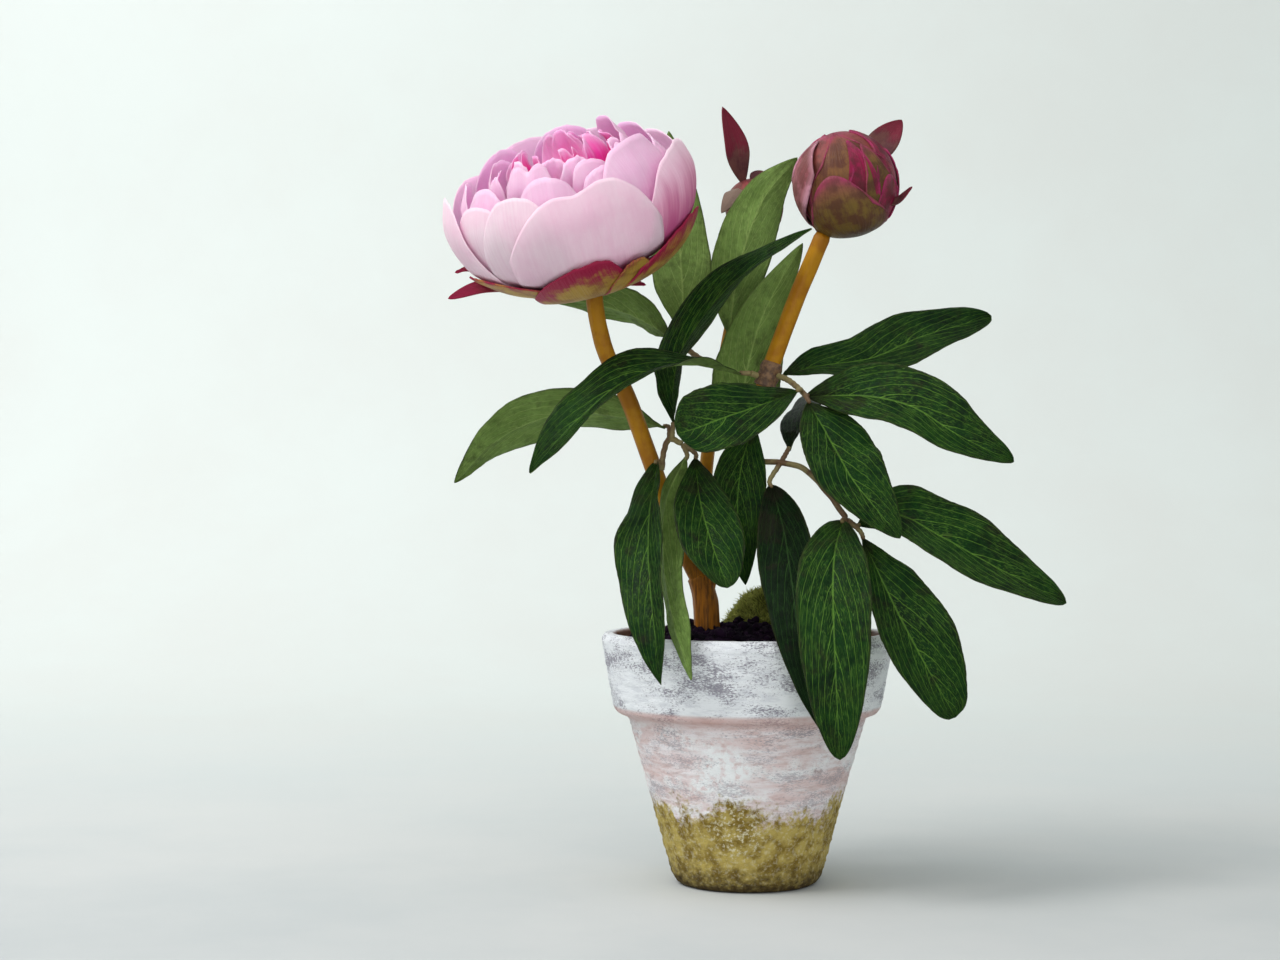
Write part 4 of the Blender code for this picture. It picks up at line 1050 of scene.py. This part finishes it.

# %% [markdown]
# ## The open bloom
#
# A double peony has wide pale guard petals outside, pinker ones within, and a tuft of small notched magenta
# petals in its heart. Their colour follows each petal's own length: deepest at the root, palest at the lip,
# in fine streaks, with a painted highlight along the rim. So one dye serves them all, whatever their shape.

# %% Dye the petal cloth
dye, source, result = new_group(
    "petal_dye", {"Across": 0.5, "Along": 0.5, "Tone": 0.5, "Root": 0.5}, ["Deep", "Lip", "Streaks"]
)
place = combined(source["Across"], source["Along"], source["Tone"])
streaks = grain(stretch(place, (42.0, 2.2, 31.0)), 1.0, 3.0)
broad = grain(stretch(place, (7.0, 1.6, 17.0)), 1.0, 2.0)
reach = scaled(streaks, 0.25, scaled(broad, 0.45, source["Along"]))
link(fade(maths("SUBTRACT", reach, source["Root"]), 0.55, 0.0), result["Deep"])
# Lip: a band round the tip and sides, for the petals' painted rim highlight and the bud scales' edge colour
out = maths("ABSOLUTE", scaled(source["Across"], 2.0, -1.0))
edge = maths("MAXIMUM", fade(source["Along"], 0.86, 1.0), fade(out, 0.82, 1.0))
link(edge, result["Lip"])
link(fade(streaks, 0.35, 0.7), result["Streaks"])


def petal_material(name, pale, middle, deep, lip, root, blush=0.45):
    """Cloth that is deep up to the share root of its length, or root + blush on a blushed petal."""
    sheen = dict(Specular_IOR_Level=0.2, Subsurface_Weight=0.6, Subsurface_Scale=0.001)
    material, shader, place = new_material(name, 0.6, Subsurface_Radius=(1.0, 0.8, 0.9), **sheen)
    across, along, tone = leaf_shares(material.node_tree)
    roots = fade(tone, 0.9, 1.0, root, root + blush)
    dyed = use(dye, {"Across": across, "Along": along, "Tone": tone, "Root": roots})
    patches = mottled(place, 0.04, 0.35, 0.65)
    patches = maths("ADD", times(patches, 0.5), times(tone, 0.4))
    colour = layered(
        pale,
        (patches, middle),
        (times(dyed["Streaks"], 0.35), middle),
        (dyed["Deep"], deep),
        # the lip colour: a painted highlight along the rim
        (times(dyed["Lip"], 0.2), lip),
    )
    cloth = use(weave, {"Place": place, "Threads": 0.6})["Height"]
    height = scaled(cloth, 0.15, dyed["Streaks"])
    surface_finish(shader, colour, height, 0.10, 0.5)
    return material


# Each petal's lip colour is a painted highlight along its rim.
PETAL_DYES = {  # name to pale, middle, deep and lip colours, root and, where it isn't usual, blush
    # The outside guard petals' deep root is partly their dye and partly painted shade near the calyx.
    "guard_petal_outside": ((246, 212, 224), (234, 184, 205), (184, 84, 134), (250, 230, 238), 0.34, 0.5),
    "guard_petal_inside": ((253, 218, 240), (250, 200, 232), (238, 112, 190), (253, 232, 244), 0.28),
    "inner_petal_outside": ((240, 198, 222), (230, 170, 206), (220, 92, 168), (248, 220, 236), 0.38),
    "inner_petal_inside": ((248, 203, 235), (246, 180, 226), (237, 64, 164), (251, 221, 241), 0.33),
    "heart_petal_outside": ((252, 208, 235), (247, 172, 218), (238, 60, 162), (252, 225, 241), 0.56),
    "heart_petal_inside": ((251, 198, 231), (246, 148, 210), (233, 38, 146), (252, 218, 238), 0.60),
}
guard_out, guard_in, inner_out, inner_in, heart_out, heart_in = [
    petal_material(name, *dyes) for name, dyes in PETAL_DYES.items()
]
print("petals dyed")

# %% [markdown]
# A petal is a cupped surface set round the bloom's axis. The photo shows the outer ones from the side, so a
# centre line, drawn as it is seen from there, gives the cup, and a few numbers give the rim.

# %% Shape the petals
BLOOM_BASE = (-66.5, -14.0, 259.5)
BLOOM_AXIS = (-0.26, -0.36, 0.90)
PETAL_CLOTH = 0.25
BLUSHED = 1.0  # the tone of a petal whose root is magenta on its outside too
bloom = axis_frame(BLOOM_BASE, BLOOM_AXIS)


def petal_surface(
    azimuth, line, width, reach=1.0, out=0.0, root=0.6, flat=1.0, drop=0.42, notch=0.0, ruffle=0.0,
    phase=0.0, crease=0.0, curl=0.0, jag=0.0, lean=0.0,
):
    """A cupped petal, azimuth degrees round the bloom from its front.

    line is its centre line as (distance from the axis, height), base to tip, and reach the share of it that
    the petal covers. out moves the petal away from the axis, root is its width at the base as a share, flat
    opens its cup, drop rounds its top, notch nicks it and ruffle waves its edge. crease pleats it along its
    length, curl rolls its lip out, jag makes its lip uneven and lean moves its highest place aside.
    """
    turn = radians(azimuth)
    outward = Vector((sin(turn), -cos(turn), 0))
    across = Vector((cos(turn), sin(turn), 0))
    centre = [(r, 0.0, z) for r, z in line]

    def surface(u, q):
        aside = (u - lean) / (1 - lean) if u > lean else (lean - u) / (1 + lean)
        v = q * (1 - drop * aside**2.6 - notch * exp(-((u / 0.2) ** 2)))
        v *= 1 + jag * ripple(7 * u, phase, 3) * q**5
        r, _, z = smooth_point(centre, v * reach)
        r += out * min(1.0, 2 * v)
        side = u * width / 2 * (root + (1 - root) * sin(min(1.0, v / 0.72) * pi / 2))
        bend = flat * max(r, 6.0)
        wave = ruffle * sin(1.5 * pi * u + phase) * v**2.2
        folds = ripple(2.6 * u, 0.8 * v, phase) + 0.22 * ripple(9 * u, 1.2 * v, phase + 9)
        wave += crease * v * (1 - 0.6 * u * u) * folds
        wave += curl * (step_up(q, 0.82, 1.0) + 0.25 * step_up(abs(u), 0.8, 1.0) * v)
        distance = r - bend * (1 - cos(side / bend)) + wave
        aside = bend * sin(side / bend)
        return bloom @ (outward * distance + across * aside + Vector((0, 0, z)))

    return surface


def dish(name, radii, heights, material, grid, side, tone=0.0, bow=1.0):
    """A closed dish round the bloom's axis, side being the share of its grid that isn't its flat ends."""
    start = (1 - side) / 2

    def place(u, v):
        share = min(1.0, max(0.0, (v - start) / side))
        radius = radii[0] + (radii[1] - radii[0]) * share**bow
        radius *= min(1.0, v / start, (1 - v) / start)
        height = heights[0] + (heights[1] - heights[0]) * share
        return bloom @ polar(radius, pi * u, height)

    return bent_grid(name, place, *grid, [material], tone, weld=True)


def sewn_bloom(name, node, surfaces, materials, grid, core, blushed):
    """Joins a bloom's petals to one piece of two-sided cloth, round the dish that they are glued to."""
    draw = random.Random(name)
    pieces = []
    for number, surface in enumerate(surfaces):
        tone = BLUSHED if number in blushed else draw.uniform(0.0, 0.85)
        pieces.append(bent_grid(name, surface, *grid, materials, tone))
    petals = applied(thicken(join(name, pieces), PETAL_CLOTH))
    glued = dish("dish", *core, materials[1], (40, 16), side=0.5, tone=0.5)
    dress(join(name, [petals, glued]), node)


print("petal shapes ready")

# %% [markdown]
# The guard petals make the bloom's outline, so they are placed one by one, as they show in the photo.

# %% Set the guard petals
GUARD_LINE = [(22, 3.5), (36, 8.5), (48, 18), (53, 34), (50, 49), (44, 62)]
GUARD_PETALS = [
    dict(azimuth=2, width=69, out=1.8, reach=0.83, notch=0.05, drop=0.38, root=0.8, lean=0.2),
    dict(azimuth=-28, width=42, out=0.2, reach=0.84),
    dict(azimuth=-51, width=42, out=-1.2, reach=0.80),
    dict(azimuth=-80, width=54, out=1.3, reach=0.82, drop=0.5),
    dict(azimuth=-126, width=54, out=-0.6, reach=0.78),
    dict(azimuth=-165, width=54, out=1.0, reach=0.87),
    dict(azimuth=158, width=54, out=-0.8, reach=0.83),
    dict(azimuth=122, width=52, out=0.4, reach=0.77),
    dict(azimuth=66, width=60, out=1.0, reach=0.81, drop=0.30, root=0.9, lean=0.1),
]
GUARD_RIM = dict(ruffle=0.7, crease=0.9, curl=-0.6, jag=0.008)
surfaces = [
    petal_surface(line=GUARD_LINE, phase=1.9 * number, **GUARD_RIM, **petal)
    for number, petal in enumerate(GUARD_PETALS)
]
sewn_bloom(
    "guard_petals", "bloom_guard_petals", surfaces, [guard_out, guard_in], (36, 34),
    core=((20, 30), (0.3, 6.5)), blushed=[8],
)

# %% [markdown]
# Inside them comes one more ring placed one by one, and one that follows a rule: evenly round the axis,
# alternately in and out, with small seeded differences.

# %% Set the inner petals
MIDDLE_LINE = [(18, 11), (31, 15), (41, 24), (46, 39), (42, 55)]
MIDDLE_PETALS = [
    dict(azimuth=-13, width=38, out=-0.9),
    dict(azimuth=22, width=34, out=-2.2, reach=0.96, drop=0.45),
    dict(azimuth=-53, width=40, out=0.7, reach=0.98, drop=0.5),
    dict(azimuth=-96, width=44, out=-0.9, reach=0.94, drop=0.5),
    dict(azimuth=-143, width=44, out=0.8),
    dict(azimuth=173, width=44, out=-0.9, reach=1.03),
    dict(azimuth=126, width=44, out=0.6, reach=0.98),
    dict(azimuth=84, width=42, out=-1.2, reach=0.96),
    dict(azimuth=43, width=47, out=1.0, reach=1.06, drop=0.30, lean=0.15),
]
MIDDLE_RIM = dict(ruffle=0.8, crease=1.8, curl=-2.4, jag=0.01)
INNER_RING = dict(line=[(14, 13), (23, 20), (30, 32), (34, 46), (29, 61)], count=7, width=34, start=-32)
INNER_RIM = dict(ruffle=1.2, drop=0.62, crease=2.6, curl=-2.6, jag=0.012)


def ring_surfaces(ring, draw, notches, **rim):
    """A ring of petals, alternately in and out, each a little different."""
    return [
        petal_surface(
            ring["start"] + 360 * number / ring["count"] + draw.uniform(-8, 8), ring["line"],
            ring["width"] * draw.uniform(0.88, 1.12), reach=draw.uniform(0.86, 1.02),
            out=0.9 if number % 2 else -0.9, notch=draw.choice(notches),
            phase=draw.uniform(0, 6.28), lean=draw.uniform(-0.25, 0.25), **rim,
        )
        for number in range(ring["count"])
    ]


draw = random.Random(5)
surfaces = [
    petal_surface(line=MIDDLE_LINE, phase=2.3 * number, **MIDDLE_RIM, **petal)
    for number, petal in enumerate(MIDDLE_PETALS)
]
surfaces += ring_surfaces(INNER_RING, draw, [0.0, 0.0, 0.08], **INNER_RIM)
sewn_bloom(
    "inner_petals", "bloom_inner_petals", surfaces, [inner_out, inner_in], (26, 26),
    core=((18, 25), (6.8, 15.5)), blushed=[10, 13, 15],
)

# %% [markdown]
# In the heart, more small petals than the solids have stand between the main ones. They are narrow, notched
# and crumpled, and only their magenta depths and pale lips show.

# %% Fill the heart
HEART_RINGS = [
    dict(line=[(8, 24), (14, 31), (18, 42), (20, 52), (16, 61)], count=6, width=22, start=-10),
    dict(line=[(4, 24), (7, 33), (9, 43.5), (10, 52.5), (7, 61)], count=3, width=16, start=30),
    dict(line=[(11, 22), (20, 29), (25, 40), (27, 49), (22, 58)], count=7, width=23, start=14),
]
HEART_RIM = dict(ruffle=1.4, drop=0.5, flat=1.6, crease=3.4, curl=0.6, jag=0.03)
draw = random.Random(9)
surfaces = []
for ring in HEART_RINGS:
    surfaces += ring_surfaces(ring, draw, [0.0, 0.16], **HEART_RIM)
sewn_bloom(
    "heart_petals", "bloom_heart_petals", surfaces, [heart_out, heart_in], (20, 22),
    core=((10, 13), (15.8, 27.0)), blushed=[1, 4, 6, 8, 11],
)

# %% [markdown]
# ## The calyx
#
# Under the bloom sit round ochre sepals with crimson upper edges, and a few pointed crimson bracts. The
# sepals are the same kind of surface as the petals, lower and wider, and the bracts are tiny leaves.

# %% Cup the calyx
SEPAL_LINE = [(9, -2.8), (21, -3.0), (30.5, 0.2), (38.8, 6.2), (46.0, 12.8), (51.2, 19.5), (55.6, 30)]
HUGGING_LINE = [(9, -2.8), (22, -0.6), (33, 4.0), (41, 9.2), (48.5, 16), (54.5, 25)]
HANGING_LINE = [(9, -3.0), (21, -2.8), (31, -0.6), (39, 4.0), (45.5, 10.5), (50, 18), (53.5, 27)]
SEPALS = [
    dict(azimuth=-9, width=43, reach=0.83, out=1.6, lean=0.6, line=SEPAL_LINE),
    dict(azimuth=23, width=19, reach=0.70, out=2.8, line=SEPAL_LINE),
    dict(azimuth=60, width=52, reach=0.87, out=1.0, lean=0.4, drop=0.3, line=HANGING_LINE),
    dict(azimuth=150, width=36, reach=0.74, line=SEPAL_LINE),
    dict(azimuth=-136, width=36, reach=0.70, line=SEPAL_LINE),
    dict(azimuth=-54, width=46, reach=0.86, out=1.4, lean=-0.6, drop=0.4, line=HUGGING_LINE),
]
SEPAL_TONES = [0.0, 0.65, 0.25, 0.4, 0.5, 0.5]
SEPAL_CLOTH = 0.6
CALYX_BRACTS = [
    dict(midrib=[(-98, -24, 253.0), (-112, -25, 253.4), (-126.5, -25, 248.6)], halves=(3.0, 2.6),
         faces=[(0, -1, 0.2), (0, -1, 0.2)], fold=0.15, base=0.5, tip=0.6),
    dict(midrib=[(-111, -19, 259.5), (-118, -20, 261.5), (-124, -20, 260)], halves=(1.4, 1.2),
         faces=[(0, -1, 0.35), (0, -1, 0.2)], fold=0.2, belly=0.3, base=0.5),
    dict(midrib=[(-57, -22, 255.8), (-50, -24, 255.8), (-43.5, -25, 254.4)], halves=(1.8, 1.8),
         faces=[(0, -1, 0.2), (0, -1, 0.2)], fold=0.2, belly=0.4, base=0.5),
]


def bract_pieces(bracts, materials, tone_step):
    """Small pointed blades, smooth and unwaved."""
    pieces = []
    for number, bract in enumerate(bracts):
        blade = leaf_surface(**bract, wave=0.0, crimp=0.0)
        pieces.append(bent_grid("bract", blade, 12, 24, materials, tone_step * number))
    return pieces


def sepal_material(name, olive, dark_olive, crimson, start):
    """Olive cloth whose far edge turns crimson from the share start of its length."""
    material, shader, place = new_material(name, 0.5, Specular_IOR_Level=0.2)
    across, along, tone = leaf_shares(material.node_tree)
    dyed = use(dye, {"Across": across, "Along": along, "Tone": tone, "Root": 0.3})
    patches = mottled(place, 0.12, 0.4, 0.62)
    far = scaled(patches, 0.14, scaled(dyed["Streaks"], 0.10, along))
    far = scaled(tone, -0.4, far)
    out = maths("ABSOLUTE", scaled(across, 2.0, -1.0))
    colour = layered(
        olive,
        (patches, dark_olive),
        (fade(far, start, start + 0.28), crimson),
        (times(fade(out, 0.90, 1.0), fade(along, 0.45, 0.8)), crimson),
        (fade(tone, 0.88, 1.0, 0.0, 0.8), (126, 108, 94)),
    )
    surface_finish(shader, colour, dyed["Streaks"], 0.25, 0.7)
    return material


sepal_out = sepal_material("sepal_outside", (176, 140, 58), (146, 104, 42), (152, 26, 64), 0.70)
sepal_in = sepal_material("sepal_inside", (150, 70, 70), (140, 40, 62), (150, 28, 64), 0.4)
bract_cloth = sepal_material("crimson_bract", (104, 62, 58), (80, 42, 46), (112, 26, 46), 0.5)
pieces = []
for number, sepal in enumerate(SEPALS):
    surface = petal_surface(phase=number, crease=0.9, jag=0.03, **sepal)
    pieces.append(bent_grid("sepal", surface, 26, 26, [sepal_out, sepal_in], SEPAL_TONES[number]))
pieces += bract_pieces(CALYX_BRACTS, [sepal_in, sepal_in], 0.3)
calyx = applied(thicken(join("calyx_cup", pieces), SEPAL_CLOTH))
seat = dish("seat", (6.5, 14.5), (-4.2, -0.6), sepal_out, (36, 20), side=0.6, bow=1.5)
dress(join("calyx_cup", [calyx, seat]), "bloom_calyx")

# %% [markdown]
# ## The buds
#
# A tight bud is wrapped in broad scales, olive, crimson or pink, with rosy upper parts and a crimson lip,
# which on the pink scales is a pale painted highlight instead, and each scale is painted darker towards its
# root, as shade where it tucks under others. One cloth serves them all: the tone that each scale carries
# says which of the colours it takes.

# %% Dye the buds
bud_cloth, shader, place = new_material("bud_scales", 0.5, Specular_IOR_Level=0.2)
across, along, tone = leaf_shares(bud_cloth.node_tree)
dyed = use(dye, {"Across": across, "Along": along, "Tone": tone, "Root": 0.3})
patches = mottled(place, 0.14, 0.4, 0.6)
olive = mix(patches, (116, 92, 40), (90, 58, 36))
crimson = mix(patches, (142, 20, 66), (96, 26, 42))
pink = mix(patches, (156, 96, 102), (120, 68, 68))
rose = mix(patches, (166, 58, 94), (126, 72, 70))
lip = times(dyed["Lip"], fade(patches, 0.0, 1.0, 0.75, 0.35))
colour = layered(
    olive,
    (fade(tone, 0.2, 0.4), crimson),
    (fade(tone, 0.65, 0.85), pink),
    (fade(along, 0.66, 1.0, 0.0, 0.5), rose),
    (times(dyed["Streaks"], 0.30), (74, 46, 42)),
    # the lip: crimson on most scales, and on the pink ones a pale painted highlight along the edge
    (lip, mix(fade(tone, 0.7, 0.85), (162, 44, 96), (218, 162, 180))),
    # painted shade: each scale darkens towards its root, where it tucks under others or under the bud
    (fade(along, 0.55, 0.0, 0.0, 0.8), (54, 42, 20)),
)
surface_finish(shader, colour, dyed["Streaks"], 0.25, 0.7)
print("bud cloth ready")

# %% [markdown]
# Under its scales the bud is a ball. Each scale follows the ball at its own height, lies against it at its
# root and tip, and rolls out a little at its free edge.

# %% Wrap the buds
SCALE_CLOTH = 0.6
BUD_RADIUS = 20.6
ROOT_FREES = (14, 48)  # the angles up from a bud's bottom over which a scale lifts off it
TIP_CLOSES = (115, 170)  # and over which it lies down again
BUD_SCALES = [
    dict(azimuth=-22, spread=136, low=14, high=110, lift=1.9, tone=0.2),
    dict(azimuth=48, spread=90, low=14, high=92, lift=1.0, tone=0.55),
    dict(azimuth=104, spread=90, low=14, high=112, lift=1.4, tone=0.45),
    dict(azimuth=-150, spread=100, low=14, high=104, lift=0.8, tone=0.5),
    dict(azimuth=-110, spread=84, low=46, high=160, lift=2.2, tone=0.9, twist=90),
    dict(azimuth=8, spread=44, low=50, high=146, lift=0.7, tone=0.55, twist=20),
    dict(azimuth=34, spread=50, low=50, high=134, lift=0.9, tone=0.05),
    dict(azimuth=80, spread=100, low=62, high=160, lift=0.6, tone=0.5),
    dict(azimuth=170, spread=110, low=60, high=155, lift=1.1, tone=0.4),
    dict(azimuth=4, spread=130, low=50, high=172, lift=0.4, tone=0.26),
    dict(azimuth=-140, spread=120, low=50, high=170, lift=0.5, tone=0.4),
]
BUD_BRACTS = [
    dict(midrib=[(53.5, -8, 311), (60, -5.5, 319), (66.2, -4, 326.8)], halves=(6.5, 6.8),
         faces=[(-0.2, -0.9, 0.2), (-0.2, -0.9, 0.1)], fold=0.25, belly=0.25, base=0.35, tip=0.75),
    dict(midrib=[(57, -19, 291.5), (62, -21, 289.8), (68.5, -21.5, 296)], halves=(2.4, 2.4),
         faces=[(-0.4, -0.6, 0.6), (-0.4, -0.6, 0.5)], fold=0.2, belly=0.3, base=0.5),
]
BACK_BUD_BRACTS = [
    dict(midrib=[(0.5, 36, 303), (-2, 33, 313), (-4, 31, 323), (-9.5, 30, 338)], halves=(5.5, 5.5),
         faces=[(0.1, -0.95, 0.1), (0.3, -0.9, 0.1)], fold=0.2, belly=0.55),
    dict(midrib=[(3, 35, 305), (7, 34, 307.5), (11.5, 33, 308)], halves=(3.5, 3.5),
         faces=[(0.1, -0.8, 0.6), (0.1, -0.8, 0.6)], fold=0.2, belly=0.3),
    dict(midrib=[(0, 35, 304), (-5, 28, 299), (-10, 27, 290.5)], halves=(4.5, 4.5),
         faces=[(-0.5, -0.8, 0.2), (-0.5, -0.8, 0.0)], fold=-0.2, belly=0.4),
]


def scale_surface(frame, radius, length, azimuth, spread, low, high, lift, twist=0.0):
    """A scale wrapped on the bud, spread and twisted in degrees, between two angles up from its bottom."""
    shell = radius + lift - SCALE_CLOTH / 2

    def surface(u, q):
        top = high - (high - low) * 0.4 * u * u
        angle = low + (top - low) * q
        rise = radians(angle)
        wide = 0.55 + 0.45 * sin(pi * min(1.0, 0.9 * q + 0.1))
        turn = radians(azimuth + twist * (q - 0.5) + u * spread / 2 * wide)
        roll = 0.35 * step_up(max(q, abs(u) * step_up(q, 0.2, 0.5)), 0.84, 1.0)
        crease = 0.45 * ripple(2.4 * u, 1.2 * q, azimuth / 20) * q
        free = step_up(angle, *ROOT_FREES) * (1 - step_up(angle, *TIP_CLOSES))
        reach = shell + roll * radius / 20 + crease - 0.8 * lift * (1 - free)
        ring, height = sin(rise) * reach, -cos(rise) * reach * length
        return frame @ Vector((ring * sin(turn), -ring * cos(turn), height))

    return surface


def wrap_bud(name, node, centre, axis, radius, length, scales, bracts):
    """A ball, its scales and its loose bracts, as one piece. length is its height over its width."""
    frame = axis_frame(centre, axis)

    def ball_place(u, v):
        turn, rise = pi * u, pi * v
        ring, height = radius * sin(rise), -radius * length * cos(rise)
        return frame @ Vector((ring * sin(turn), -ring * cos(turn), height))

    pieces = []
    for scale in scales:
        shape = {key: value for key, value in scale.items() if key != "tone"}
        shape["lift"] *= radius / BUD_RADIUS
        surface = scale_surface(frame, radius, length, **shape)
        pieces.append(bent_grid("scale", surface, 28, 28, [bud_cloth], scale["tone"]))
    pieces += bract_pieces(bracts, [bract_cloth], 0.5)
    wraps = applied(thicken(join(name, pieces), SCALE_CLOTH, two_sided=False))
    ball = bent_grid("ball", ball_place, 40, 30, [bud_cloth], 0.3, weld=True)
    dress(join(name, [wraps, ball]), node)


wrap_bud(
    "bud_wrapped", "bud", centre=(41.5, -14.0, 298.0), axis=(-0.30, -0.25, 0.92), radius=BUD_RADIUS,
    length=1.09, scales=BUD_SCALES, bracts=BUD_BRACTS,
)
wrap_bud(
    "back_bud_wrapped", "back_bud", centre=(4.5, 38.5, 294.0), axis=(-0.20, -0.10, 0.97), radius=12.5,
    length=1.06, scales=BUD_SCALES[:4], bracts=BACK_BUD_BRACTS,
)
